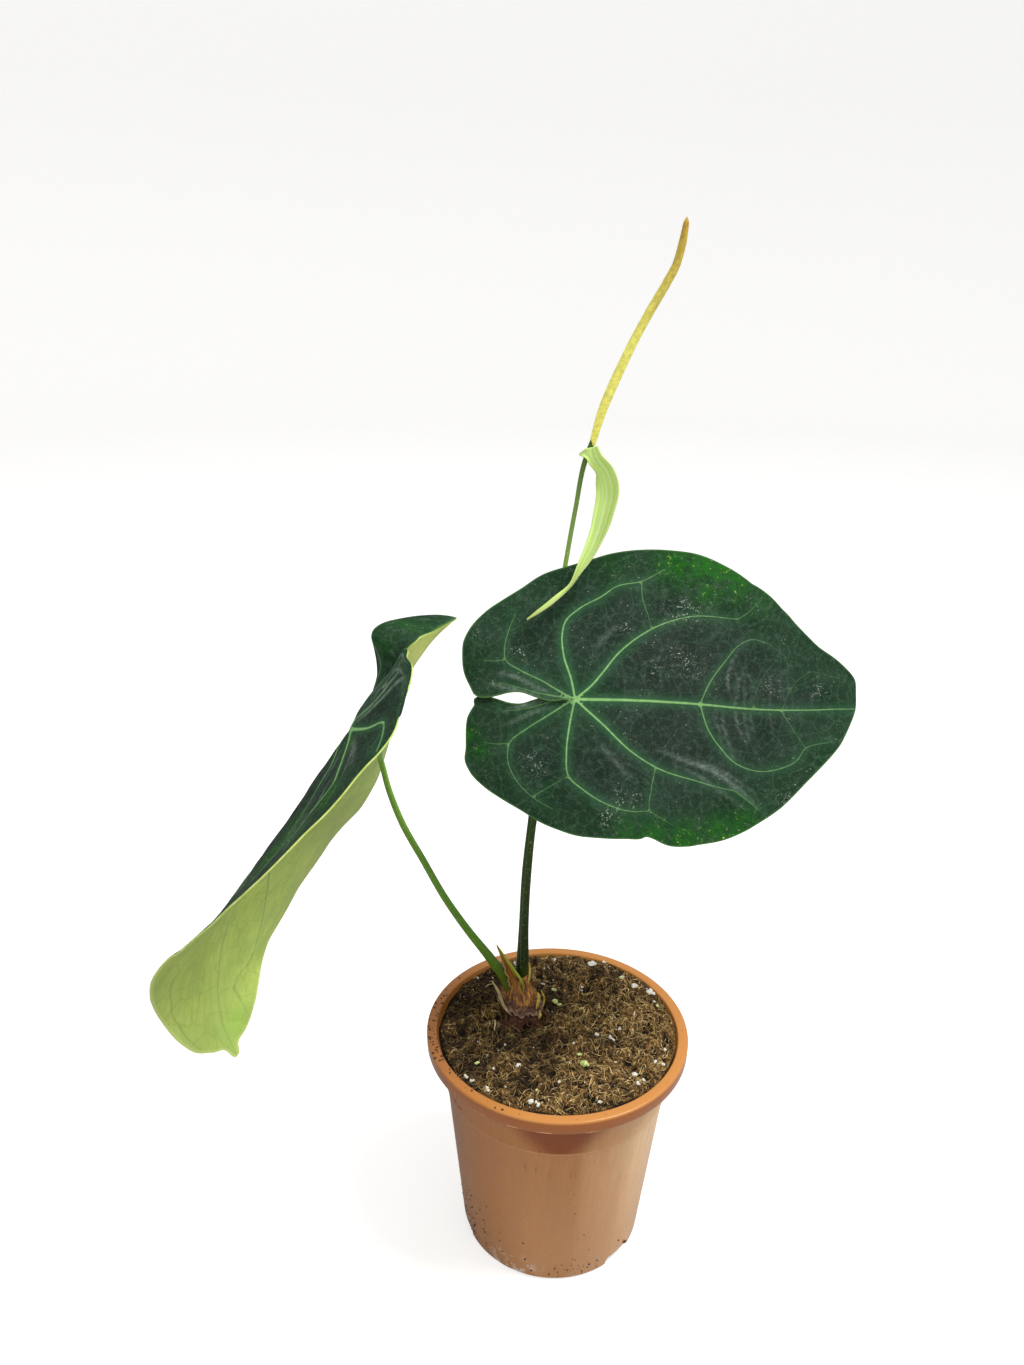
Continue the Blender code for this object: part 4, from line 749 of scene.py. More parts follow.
def live_stalk(name, foot, middle, end, bounds, roughness=0.38):
    """Live stalk: a waxy green skin with faint lengthwise ribs; the colour runs from foot to end."""
    m, add = new_material(name)
    flat = add("UVMap", uv_map="UVMap")
    along = add("SeparateXYZ", flat, output=1)
    low, high = (add("MapRange", along, *pair, 0.0, 1.0) for pair in (bounds[:2], bounds[1:]))
    drawn = add("Mapping", Vector=flat, Scale=(26.0, 5.0, 1.0))
    ribs = add("TexNoise", Vector=drawn, Scale=1.0, Detail=3.0)
    flecks = add("TexNoise", Vector=add("TexCoord", output=3), Scale=1 / 0.0009, Detail=3.0)
    shade = add("MapRange", ribs, 0.3, 0.7, 0.72, 1.2)
    fleck = add("MapRange", flecks, 0.6, 0.72, 0.0, 0.35)
    layers = ((low, middle), (high, end), (1.0, shade, "MULTIPLY"), (fleck, "#b6c98a"))
    return finish_material(
        m, foot, layers, ribs, 0.00012, Roughness=roughness, IOR=1.45, Specular_IOR_Level=0.25,
    )


def net_of_veins(add, flat, cell):
    """Flat places bent by a soft wave, and how far each lies from the border of a cell of so many
    millimetres: the finest veins run along the borders."""
    wave = add("TexNoise", Vector=flat, Scale=100 / 6, Detail=2.0, output=1)
    bend = add("VectorMath", wave, (0.035, 0.035, 0.0), operation="MULTIPLY")
    place = add("VectorMath", flat, bend, operation="ADD")
    return place, add("TexVoronoi", Vector=place, Scale=100 / cell, feature="DISTANCE_TO_EDGE")


def velvet_leaf(settings):
    """Upper face of a velvet leaf: rows of tiny domed cells drink the light, so it is near-black green; the
    grey that grazing light gives it is painted as sheen in soft clouds, towards the middle, in specks and
    along the folds, and only the veins, young patches and rubbed spots stay bright."""
    m, add = new_material("Velvet leaf")
    flat = add("UVMap", uv_map="UVMap")  # 1 is 100 mm of the flat leaf
    vein, strength, halo, fresh, scuff, fold, margin = (
        add("Attribute", output=2, attribute_name=name)
        for name in ("vein", "strength", "halo", "fresh", "scuff", "fold", "margin")
    )
    clouds = add("TexNoise", Vector=flat, Scale=100 / 16, Detail=4.0)
    mottle = add("TexNoise", Vector=flat, Scale=100 / 2.4, Detail=7.0, Roughness=0.72)
    grain = add("TexNoise", Vector=flat, Scale=100 / 0.5, Detail=2.0)
    patchy = add("TexNoise", Vector=flat, Scale=100 / 3.5, Detail=5.0, Roughness=0.7)
    torn = add("TexNoise", Vector=flat, Scale=100 / 1.3, Detail=3.0, Distortion=1.5)
    motes = add("TexVoronoi", Vector=flat, Scale=100 / 2.3)
    net_place, net = net_of_veins(add, flat, 7.0)
    seeds = add("TexVoronoi", Vector=net_place, Scale=100 / 1.1)
    # Painted sheen: grey in soft clouds
    cloudy = add("MapRange", clouds, 0.36, 0.64, 0.0, 1.0)
    outer = add("MapRange", margin, 3.0, 24.0, 0.55, 0.0)
    # Painted sheen: greyer towards the middle of the blade
    middle = add("MapRange", margin, 18.0, 38.0, 0.0, 0.6)
    pores = add("MapRange", grain, 0.3, 0.7, 0.4, 1.5)
    # Grey specks: dust, and painted glints of the velvet's cells
    speck = add("MapRange", mottle, 0.5, 0.72, 0.0, 0.42)
    mote = add("MapRange", motes, 0.07, 0.11, 0.65, 0.0)
    few = add("MapRange", clouds, 0.5, 0.58, 0.0, 1.0)
    broken = add("MapRange", mottle, 0.36, 0.6, 0.25, 1.0)
    netted = add("MapRange", net, 0.0, 0.05, 0.14, 0.0)
    share = add("MapRange", patchy, 0.36, 0.6, 0.15, 1.0)
    seed = add("MapRange", seeds, 0.16, 0.3, 1.0, 0.0)
    some = add("MapRange", mottle, 0.5, 0.56, 0.0, 0.9)
    chips = add("MapRange", torn, 0.6, 0.66, 0.0, 1.0)
    line = add("MapRange", vein, 0.45, 1.3, 1.0, 0.0)
    uneven = add("MapRange", mottle, 0.35, 0.6, 0.6, 1.0)
    rim = add("MapRange", margin, 0.2, 0.7, 0.8, 0.0)
    # Painted sheen along the folds, broken up by the mottle
    mote, folds, halo, young, lit = (
        add("Math", *pair, operation="MULTIPLY")
        for pair in ((mote, few), (fold, broken), (halo, 0.65), (fresh, share), (line, strength))
    )
    sown = add("Math", seed, young, operation="MULTIPLY")
    dots = add("Math", sown, some, operation="MULTIPLY")
    lit = add("Math", lit, uneven, operation="MULTIPLY")
    scuffs = add("Math", scuff, chips, operation="MULTIPLY", use_clamp=True)
    relief = add("Math", mottle, grain, operation="ADD")
    layers = (
        (cloudy, settings.velvet_sheen),
        (outer, "#19391f"),
        (middle, "#252e28"),
        (1.0, pores, "MULTIPLY"),
        (speck, "#56675a"),
        (mote, "#a9b3a2"),
        (folds, "#7d8a80"),
        (netted, "#4f7a55"),
        (halo, "#34603f"),
        (young, settings.fresh),
        (dots, "#c2dc58"),
        (scuffs, "#b9bfae"),
        (lit, settings.vein),
        (rim, "#466a34"),
    )
    return finish_material(
        m, settings.velvet, layers, relief, 0.00014, Roughness=0.75, IOR=1.4, Specular_IOR_Level=0.1,
    )


def leaf_underside(settings):
    """Underside of a leaf: pale, smooth and matt, with raised veins that stay a shade darker, painted light
    and shade in lengthwise creases, painted shade near the junction and painted light on the lobes.
    """
    m, add = new_material("Leaf underside")
    flat = add("UVMap", uv_map="UVMap")
    vein, strength, halo, fresh, margin = (
        add("Attribute", output=2, attribute_name=name)
        for name in ("vein", "strength", "halo", "fresh", "margin")
    )
    clouds = add("TexNoise", Vector=flat, Scale=100 / 14, Detail=5.0, Roughness=0.6)
    streak = add("Mapping", Vector=flat, Rotation=(0, 0, 0.3), Scale=(0.25, 1.0, 1.0))
    creases = add("TexNoise", Vector=streak, Scale=100 / 1.6, Detail=4.0, Roughness=0.6)
    _, net = net_of_veins(add, flat, 8.0)
    near = add("VectorMath", flat, operation="LENGTH")
    part = add("MapRange", clouds, 0.36, 0.64, 0.0, 1.0)
    # Painted light and shade: soft lengthwise creases
    lined = add("MapRange", creases, 0.3, 0.7, 0.9, 1.08)
    netted = add("MapRange", net, 0.0, 0.035, 0.35, 0.0)
    # Painted shade near the junction
    deep = add("MapRange", near, 0.2, 0.75, 0.3, 0.0)
    ahead = add("MapRange", add("SeparateXYZ", flat), -0.25, -0.1, 0.0, 1.0)
    # Painted light: the lobes behind the junction lighten to a pale yellow
    lobes = add("MapRange", ahead, 0.0, 1.0, 0.85, 0.0)
    line = add("MapRange", vein, 0.4, 1.5, 0.6, 0.0)
    rim = add("MapRange", margin, 0.4, 1.2, 0.6, 0.0)
    deep, young, pale, lit = (
        add("Math", *pair, operation="MULTIPLY")
        for pair in ((deep, ahead), (fresh, ahead), (halo, 0.35), (line, strength))
    )
    young = add("Math", young, 0.3, operation="MULTIPLY")
    layers = (
        (part, settings.underside_deep),
        (1.0, lined, "MULTIPLY"),
        (netted, "#7f9a48"),
        (deep, "#63753a"),
        (young, "#8fd04a"),
        (lobes, "#f0fa98"),
        (pale, "#b4c977"),
        (lit, "#6c8d3b"),
        (rim, "#c9d68a"),
    )
    return finish_material(
        m, settings.underside, layers, creases, 0.00008, Roughness=0.6, IOR=1.4, Specular_IOR_Level=0.35,
    )


def waxy_bract(settings):
    """Bract tissue: thin, waxy and pale, with lengthwise nerves and a pink-brown edge and tip."""
    m, add = new_material("Waxy bract")
    flat = add("UVMap", uv_map="UVMap")
    across, along = (add("SeparateXYZ", flat, output=i) for i in range(2))
    drawn = add("Mapping", Vector=flat, Scale=(9.0, 1.2, 1.0))
    nerves = add("TexNoise", Vector=drawn, Scale=1.5, Detail=5.0, Roughness=0.6)
    tone = add("MapRange", nerves, 0.35, 0.65, 0.0, 1.0)
    rows = add("Math", across, 7 * pi, operation="MULTIPLY")
    swing = add("Math", rows, operation="SINE")
    ridge = add("Math", swing, operation="ABSOLUTE")
    line = add("MapRange", ridge, 0.0, 0.3, 0.4, 0.0)
    middle = add("Math", across, 0.5, operation="SUBTRACT")
    out = add("Math", middle, operation="ABSOLUTE")
    edge = add("MapRange", out, 0.46, 0.5, 0.0, 0.5)
    tip = add("MapRange", along, 0.72, 1.0, 0.0, 0.75)
    layers = ((tone, settings.bract_pale), (line, "#8fa94f"), (edge, "#c0c083"), (tip, "#8d9a4e"))
    return finish_material(
        m, settings.bract, layers, nerves, 0.0001, Roughness=0.42, IOR=1.42, Subsurface_Weight=0.15,
        Subsurface_Scale=0.001, Subsurface_Radius=(0.8, 1.0, 0.3),
    )


def floret_skin(settings):
    """Spadix: fleshy florets in tight spirals, yellow and paler at the crowns, golden near the tip."""
    m, add = new_material("Spadix florets")
    along = add("SeparateXYZ", add("UVMap", uv_map="UVMap"), output=1)
    floret = add("Attribute", output=2, attribute_name="floret")
    blotch = add("TexNoise", Vector=add("TexCoord", output=3), Scale=1 / 0.0016, Detail=4.0)
    ripe = add("MapRange", along, 0.45, 1.0, 0.0, 1.0)
    tone = add("MapRange", blotch, 0.35, 0.65, 0.82, 1.12)
    gap = add("MapRange", floret, 0.0, 0.35, 0.6, 0.0)
    layers = ((ripe, settings.spadix_tip), (1.0, tone, "MULTIPLY"), (gap, "#b39d38"))
    return finish_material(
        m, settings.spadix, layers, blotch, 0.00008, Roughness=0.5, IOR=1.42, Subsurface_Weight=0.1,
        Subsurface_Scale=0.001, Subsurface_Radius=(1.0, 0.8, 0.3),
    )


# Meshes


def piece_of(shape, name, slot, materials, *nodes, smooth=True):
    """Makes an object of a bmesh, which it frees; the piece rides on the part and replaces nodes."""
    mesh = bpy.data.meshes.new(name)
    shape.to_mesh(mesh)
    shape.free()
    return dressed(bpy.data.objects.new(name, mesh), materials, nodes, smooth)


def dressed(piece, materials, nodes, smooth=True):
    bpy.context.scene.collection.objects.link(piece)
    for material in materials:
        piece.data.materials.append(material)
    if smooth:
        piece.data.shade_smooth()
        piece.data.set_sharp_from_angle(angle=radians(50))
    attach(piece, "root")
    if nodes:
        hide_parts(*nodes)
    return piece


def formed_grid(shape, across, along, form, closed=False):
    """Adds a grid whose points move to form(u, v) in millimetres; a closed one is joined into a tube."""
    layer = shape.loops.layers.uv.get("UVMap") or shape.loops.layers.uv.new("UVMap")
    made = bmesh.ops.create_grid(shape, x_segments=across, y_segments=along, size=0.5)["verts"]
    faces = {face for vert in made for face in vert.link_faces}
    for face in faces:
        for loop in face.loops:
            loop[layer].uv = (loop.vert.co.x + 0.5, loop.vert.co.y + 0.5)
    share = np.array([v.co for v in made]) + 0.5
    places = form(share[:, 0], share[:, 1]) * MM
    for vert, place in zip(made, places):
        vert.co = place
    if closed:
        bmesh.ops.remove_doubles(shape, verts=made, dist=0.002 * MM)
        rims = [e for f in faces if f.is_valid for e in f.edges if e.is_boundary]
        bmesh.ops.holes_fill(shape, edges=list(set(rims)), sides=0)
    return made


def tube_form(route, radii, extra=None):
    """The form of a round tube along a route, with its radius by share and what is extra at (u, v)."""
    route = smooth_route(route, 400)
    across, face = route_frames(route, np.array([1.0, 0.0, 0.0]))
    shares = np.linspace(0.0, 1.0, len(route))

    def form(u, v):
        angle = 2 * pi * u
        centre, sideways, up = between(v, shares, route, across, face)
        radius = smooth_curve(radii, v)
        if extra is not None:
            radius = radius + extra(u, v)
        sideways = sideways * (radius * np.cos(angle))[:, None]
        return centre + sideways + up * (radius * np.sin(angle))[:, None]

    return form


def tube(name, slot, material, route, radii, node, sides):
    shape = bmesh.new()
    formed_grid(shape, sides, 160, tube_form(route, radii), closed=True)
    bmesh.ops.recalc_face_normals(shape, faces=shape.faces)
    return piece_of(shape, name, slot, [material], node)


def thickened(piece, thickness):
    """Gives a sheet its thickness in metres, half to each side."""
    modifier = piece.modifiers.new("Thickness", "SOLIDIFY")
    modifier.thickness = thickness
    modifier.offset = 0.0


def strands(name, slot, material, routes, widths):
    """Thin round strands along routes, as one mesh; the radius tapers to a third at both ends."""
    curve = bpy.data.curves.new(name, "CURVE")
    curve.dimensions = "3D"
    curve.bevel_depth = MM
    curve.bevel_resolution = 0
    curve.use_fill_caps = True
    for route, width in zip(routes, widths):
        spline = curve.splines.new("POLY")
        spline.points.add(len(route) - 1)
        for i, (point, place) in enumerate(zip(spline.points, route)):
            share = i / (len(route) - 1)
            point.co = (*(np.asarray(place) * MM), 1.0)
            point.radius = width * (0.35 + 0.65 * sin(pi * share))
    helper = bpy.data.objects.new("helper", curve)
    bpy.context.scene.collection.objects.link(helper)
    bpy.context.view_layer.update()
    mesh = bpy.data.meshes.new_from_object(helper.evaluated_get(bpy.context.evaluated_depsgraph_get()))
    bpy.data.objects.remove(helper)
    mesh.name = name
    mesh.materials.clear()
    return dressed(bpy.data.objects.new(name, mesh), [material], ())


def wall_radius(z):
    slope = (WALL_TOP_RADIUS - SHOULDER_STEP - BASE_RADIUS) / (POT_HIGH.z / MM - COLLAR)
    return BASE_RADIUS + slope * z + (SHOULDER_STEP if z > SHOULDER_Z else 0.0)


def pot_profile(height, collar):
    """(radius, height) from the middle of the floor, up inside, over the rim and down outside."""
    low = height - collar
    return (
        (0.0, FLOOR),
        (wall_radius(FLOOR) - WALL - 1.0, FLOOR),
        (wall_radius(FLOOR) - WALL - 0.3, FLOOR + 0.3),
        (wall_radius(FLOOR) - WALL, FLOOR + 1.0),
        (wall_radius(SHOULDER_Z) - WALL, SHOULDER_Z),
        (wall_radius(SHOULDER_Z + 0.7) - WALL, SHOULDER_Z + 0.7),
        (wall_radius(low) - WALL, low - 0.6),
        (RIM_INNER_RADIUS - 1.2, low + 2.4),
        (RIM_INNER_RADIUS - 0.2, height - 0.9),
        (RIM_INNER_RADIUS - 0.05, height - 0.4),
        (RIM_INNER_RADIUS + 0.2, height - 0.1),
        (RIM_INNER_RADIUS + 0.6, height),
        (RIM_RADIUS - 0.9, height),
        (RIM_RADIUS - 0.4, height - 0.12),
        (RIM_RADIUS - 0.1, height - 0.4),
        (RIM_RADIUS, height - 0.9),
        (RIM_RADIUS - 0.15, low + 0.5),
        (RIM_RADIUS - 0.3, low + 0.1),
        (RIM_RADIUS - 0.6, low),
        (RIM_RADIUS - 1.3, low),
        (RIM_RADIUS - 1.4, height - 1.6),
        (RIM_INNER_RADIUS + 0.2, height - 1.6),
        (wall_radius(low) + 0.1, low + 1.2),
        (wall_radius(low), low - 0.6),
        (wall_radius(SHOULDER_Z + 1.2) - 0.1, SHOULDER_Z + 1.2),
        (wall_radius(SHOULDER_Z + 0.6) + 0.16, SHOULDER_Z + 0.6),
        (wall_radius(SHOULDER_Z + 0.1) + 0.2, SHOULDER_Z + 0.1),
        (wall_radius(SHOULDER_Z), SHOULDER_Z - 0.3),
        (wall_radius(2.0), 2.0),
        (BASE_RADIUS - 0.15, 0.9),
        (BASE_RADIUS - 0.7, 0.3),
        (BASE_RADIUS - 1.8, 0.0),
        (BASE_RADIUS - 3.0, 0.0),
        (BASE_RADIUS - 3.6, 0.35),
        (0.0, 0.35),
    )


def turned_profile(shape, profile, steps):
    """Spins a profile in millimetres once round the axis and closes it at the axis."""
    verts = [shape.verts.new((r * MM, 0.0, z * MM)) for r, z in profile]
    edges = [shape.edges.new(pair) for pair in zip(verts, verts[1:])]
    bmesh.ops.spin(
        shape, geom=verts + edges, cent=(0, 0, 0), axis=(0, 0, 1), angle=2 * pi, steps=steps,
        use_merge=True,
    )
    bmesh.ops.remove_doubles(shape, verts=shape.verts, dist=0.001 * MM)
    bmesh.ops.recalc_face_normals(shape, faces=shape.faces)


def carved(piece, cutters):
    """Takes the cutters out of the piece and keeps the result as its mesh."""
    for cutter in cutters:
        modifier = piece.modifiers.new(cutter.name, "BOOLEAN")
        modifier.operation = "DIFFERENCE"
        modifier.object = cutter
    bpy.context.view_layer.update()
    result = bpy.data.meshes.new_from_object(piece.evaluated_get(bpy.context.evaluated_depsgraph_get()))
    piece.modifiers.clear()
    piece.data = result
    for cutter in cutters:
        bpy.data.objects.remove(cutter)


def build_pot(settings):
    """A thin turned wall with a rolled collar and three drainage notches at the foot."""
    shape = bmesh.new()
    turned_profile(shape, pot_profile(settings.height / MM, settings.collar / MM), POT_STEPS)
    pot = piece_of(shape, "pot_shell", "terracotta_plastic", [moulded_polypropylene(settings)], "pot")
    cutters = []
    for number, heading in enumerate(NOTCH_HEADINGS):
        cutter = bmesh.new()
        size = Vector(NOTCH_SIZE) * MM
        bmesh.ops.create_cube(cutter, size=1.0, matrix=Matrix.Diagonal((*size, 1.0)))
        outward = [e for e in cutter.edges if abs(e.verts[0].co.x - e.verts[1].co.x) > size.x / 2]
        bmesh.ops.bevel(
            cutter, geom=outward, offset=NOTCH_CORNER * MM, segments=6, profile=0.5, affect="EDGES",
            material=-1,
        )
        turned = Matrix.Rotation(radians(heading), 4, "Z") @ Matrix.Translation((BASE_RADIUS * MM, 0, 0))
        bmesh.ops.transform(cutter, matrix=turned, verts=cutter.verts)
        mesh = bpy.data.meshes.new(f"notch_{number}")
        cutter.to_mesh(mesh)
        cutter.free()
        cutters.append(bpy.data.objects.new(mesh.name, mesh))
        bpy.context.scene.collection.objects.link(cutters[-1])
    carved(pot, cutters)
    pot.data.shade_smooth()
    pot.data.set_sharp_from_angle(angle=radians(40))


def heap(random, grains, subdivisions=1, flat=1.0, rough=0.3):
    """A bmesh of irregular grains, each (place, size) in millimetres, made a hundred at a time."""
    whole = bmesh.new()
    for first in range(0, len(grains), 100):
        part = bmesh.new()
        for place, size in grains[first : first + 100]:
            chip(part, random, place, size, subdivisions, flat, rough)
        mesh = bpy.data.meshes.new("part")
        part.to_mesh(mesh)
        part.free()
        whole.from_mesh(mesh)
        bpy.data.meshes.remove(mesh)
    return whole


def chip(shape, random, place, size, subdivisions, flat, rough):
    """Adds one irregular grain, turned at random, with its middle at a place in millimetres."""
    turn = Matrix.Rotation(random.uniform(0, 2 * pi), 4, "Z")
    turn = turn @ Matrix.Rotation(random.uniform(-0.5, 0.5), 4, "X")
    stretch = Matrix.Diagonal((1.0, random.uniform(0.6, 0.95), random.uniform(0.6, 0.9) * flat, 1.0))
    centre = Vector(place) * MM
    matrix = Matrix.Translation(centre) @ turn @ stretch
    made = bmesh.ops.create_icosphere(shape, subdivisions=subdivisions, radius=size / 2 * MM, matrix=matrix)
    for vert in made["verts"]:
        vert.co = centre + (vert.co - centre) * random.uniform(1 - rough, 1 + rough)


def build_pot_dirt():
    """Crumbs of dried peat that stick to the wall and the rim."""
    random = Random(11)
    top = POT_HIGH.z / MM
    specks = [(heading, z, wall_radius(z), size) for heading, z, size in POT_DIRT]
    for _ in range(RIM_DIRT):
        heading = random.gauss(*RIM_DIRT_HEADING)
        specks.append((heading, top, random.uniform(55.9, 59.4), random.uniform(0.2, 0.6)))
    for count, heading, fan, least, spread in WALL_DIRT:
        for _ in range(count):
            z = abs(random.gauss(0.0, spread)) + least
            specks.append((random.gauss(heading, fan), z, wall_radius(z), random.uniform(0.14, 0.42)))
    for _ in range(LOOSE_DIRT):
        heading = random.uniform(0, 360)
        specks.append((heading, top, random.uniform(55.8, 58.8), random.uniform(0.1, 0.24)))
    grains = [((*polar(radius, heading), z), DIRT_SWELL * size) for heading, z, radius, size in specks]
    dried = mottled("Dried peat", "#2c1c12", "#5a3f28", 0.0006, 0.95)
    piece_of(heap(random, grains, flat=0.7), "pot_dirt", "peat", [dried])


def soil_height(x, y):
    """Height of the soil's lumpy top, in millimetres, for arrays."""
    heading = radians(SOIL_TILT_HEADING)
    inward = 1.0 - np.minimum(1.0, (x * x + y * y) / RIM_INNER_RADIUS**2)
    z = SOIL_EDGE_Z + SOIL_TILT * (x * cos(heading) + y * sin(heading)) + SOIL_CROWN * inward**0.6
    for length, height, turn, phase in LUMPS:
        along = x * cos(radians(turn)) + y * sin(radians(turn))
        z = z + height * inward**0.3 * np.sin(2 * pi * along / length + radians(phase))
    hollow = ((x - HOLLOW_CENTRE[0]) ** 2 + (y - HOLLOW_CENTRE[1]) ** 2) / HOLLOW_RADIUS**2
    z = z - HOLLOW_DEPTH * np.exp(-hollow)
    for size, height in CLODS:
        lump = (1.0 - np.abs(hashed(x, y, size, size)) * 2.2) * 0.8
        z = z + height * lump * np.minimum(1.0, 0.35 + inward * 6)
    return z


def build_soil(settings):
    """A plug of peat with a clodded top: a grid drawn out to a disc, its edge extruded down in the pot."""
    shape = bmesh.new()
    radius = RIM_INNER_RADIUS - 1.0

    def form(u, v):
        x, y = 2 * u - 1, 2 * v - 1
        x, y = x * np.sqrt(1 - y * y / 2) * radius, y * np.sqrt(1 - x * x / 2) * radius
        return np.stack([x, y, soil_height(x, y)], axis=-1)

    formed_grid(shape, SOIL_CELLS, SOIL_CELLS, form)
    tops = np.array([vert.co.z for vert in shape.verts]).reshape(SOIL_CELLS + 1, -1) / MM
    # How far each point stands above its neighbours; the peat's colour paints shade in the hollows with it
    near = range(-PROUD_REACH, PROUD_REACH + 1)
    around = sum(np.roll(tops, (i, j), (0, 1)) for i in near for j in near) / len(near) ** 2
    proud = shape.verts.layers.float.new("proud")
    for vert, value in zip(shape.verts, (tops - around).ravel()):
        vert[proud] = value
    rim = [e for e in shape.edges if e.is_boundary]
    for gap, z in SOIL_FOOT:
        walls = bmesh.ops.extrude_edge_only(shape, edges=rim)["geom"]
        for vert in (g for g in walls if isinstance(g, bmesh.types.BMVert)):
            out = Vector((vert.co.x, vert.co.y, 0.0)).normalized()
            vert.co = (out * (wall_radius(z) - WALL - gap) + Vector((0, 0, z))) * MM
        rim = [g for g in walls if isinstance(g, bmesh.types.BMEdge) and g.is_boundary]
    bmesh.ops.holes_fill(shape, edges=rim, sides=0)
    bmesh.ops.recalc_face_normals(shape, faces=shape.faces)
    tree = BVHTree.FromBMesh(shape)
    piece_of(shape, "peat_plug", "peat", [milled_peat(settings)], "soil")
    return tree


def on_soil(tree, x, y):
    """Height of the finished soil under a place, in millimetres."""
    hit = tree.ray_cast(Vector((x * MM, y * MM, 0.2)), Vector((0, 0, -1)))[0]
    return hit.z / MM if hit else SOIL_EDGE_Z


def scattered(random, reach=SOIL_REACH):
    """A random place on the soil, off the stem."""
    while True:
        x, y = random.uniform(-reach, reach), random.uniform(-reach, reach)
        if hypot(x, y) < reach and hypot(x - STEM_COLLAR[0], y - STEM_COLLAR[1]) > STEM_CLEARANCE:
            return x, y


def build_soil_litter(settings, tree):
    """Crumbs, coir fibres, perlite and green bits that lie on the peat."""

    def lying(x, y, size, raised=0.2):
        return (x, y, on_soil(tree, x, y) + raised * size), size

    random = Random(5)
    grains = []
    for _ in range(settings.crumbs):
        x, y = scattered(random, SOIL_REACH + 0.6)
        grains.append(lying(x, y, random.choice((0.4, 0.5, 0.7, 0.7, 0.9, 0.9, 1.2, 1.8)), 0.15))
    crumb = peat_bits("Peat crumb", "#20150b", "#93703f", "#140d07", 0.0012)
    piece_of(heap(random, grains, rough=0.4), "soil_crumbs", "peat", [crumb], smooth=False)
    routes, widths = [], []
    for number in range(settings.fibres):
        x, y = scattered(random)
        heading = random.uniform(0, 2 * pi)
        length = random.uniform(1.5, 5.5) if number % 9 else random.uniform(7.0, 14.0)
        steps = 5
        route = []
        curl = random.uniform(-0.5, 0.5)
        lift = random.uniform(0.0, 0.9)
        for i in range(steps):
            if hypot(x, y) > SOIL_REACH + 1.0:
                break
            rise = lift * sin(pi * i / (steps - 1)) + 0.1
            route.append((x, y, on_soil(tree, x, y) + rise))
            heading += curl + random.uniform(-0.25, 0.25)
            x += length / steps * cos(heading)
            y += length / steps * sin(heading)
        if len(route) > 3:
            routes.append(smooth_route(route, 6))
            widths.append(random.uniform(0.07, 0.2))
    coir = peat_bits("Coir fibre", "#765a30", "#ebcb8c", "#4a3820", 0.003)
    strands("coir_fibres", "peat", coir, routes, widths)
    grains = []
    for x, y, size in PERLITE:
        for _ in range(3):
            x_out, y_out = x + random.uniform(-0.3, 0.3) * size, y + random.uniform(-0.3, 0.3) * size
            lump = size * random.uniform(0.45, 0.8)
            grains.append(lying(x_out, y_out, lump, 0.22))
    for _ in range(settings.perlite_dust):
        grains.append(lying(*scattered(random), random.uniform(0.35, 0.9)))
    grain = mottled("Expanded perlite", "#b9b4a5", "#f6f4ea", 0.0006, 0.85, 0.0005)
    piece_of(heap(random, grains, 2, rough=0.17), "perlite", "peat", [grain], smooth=False)
    green = mottled("Moss and husk bits", "#8c9c3c", "#dbe3a0", 0.0014, 0.7)
    piece_of(heap(random, [lying(*bit) for bit in SPROUTS], 2, 0.6, 0.2), "green_bits", "peat", [green])


def stem_point(height):
    """Centre of the stem base at a share of its height."""
    low, high = np.array(STEM_COLLAR), np.array(STEM_TOP)
    return low + (high - low) * np.asarray(height)[..., None]


def wrapped_strip(shape, strip, fray, number, flare):
    """A papery strip round the stem: where it starts and its width in degrees, the share up the stem of
    its lower and its upper edge at the start and at the end, and the radius of each edge."""
    start, wide, low_start, low_end, high_start, high_end, low_radius, high_radius = strip

    def form(u, v):
        angle = np.radians(start + wide * u)
        ragged = fray * (hashed(u * 9, number * 3.1, 0.0, 1.0) + 0.7 * hashed(u * 31, number * 1.7, 2.0, 1.0))
        lower = low_start + (low_end - low_start) * u + ragged
        upper = high_start + (high_end - high_start) * u
        upper = upper + 0.5 * fray * hashed(u * 23, number * 2.3, 5.0, 1.0)
        out = low_radius + (high_radius - low_radius) * v**0.8
        folds = 0.7 * hashed(u * 7 - v * 2, v * 2, number * 1.3, 1.0)
        folds = folds + 0.75 * hashed(u * 22 - v * 5, v * 3, number, 1.0)
        lip = flare * (1 - v) ** 4 * (1.0 + 0.9 * hashed(u * 14, number * 5.1, 1.0, 1.0))
        out = out + folds + lip
        side = np.stack([np.cos(angle), np.sin(angle), np.zeros_like(angle)], axis=-1)
        return stem_point(lower + (upper - lower) * v) + side * out[:, None]

    formed_grid(shape, 64, 18, form)


def ribbon(shape, route, width):
    """A dry ribbon along a route, cupped across, narrowing to both ends and facing the front."""
    line = smooth_route(route, 40)
    across, face = route_frames(line, np.array([1.0, 0.0, 0.0]))
    shares = np.linspace(0.0, 1.0, len(line))

    def form(u, v):
        x = 2 * u - 1
        centre, sideways, up = between(v, shares, line, across, face)
        half = width * (0.25 + 0.75 * np.sin(pi * np.clip(v, 0.03, 0.9)))
        half = half * (1 + 0.3 * hashed(v * 8, x, width, 1.0))
        return centre + sideways * (half * x)[:, None] + up * (0.5 * half * x * x)[:, None]

    formed_grid(shape, 8, 40, form)


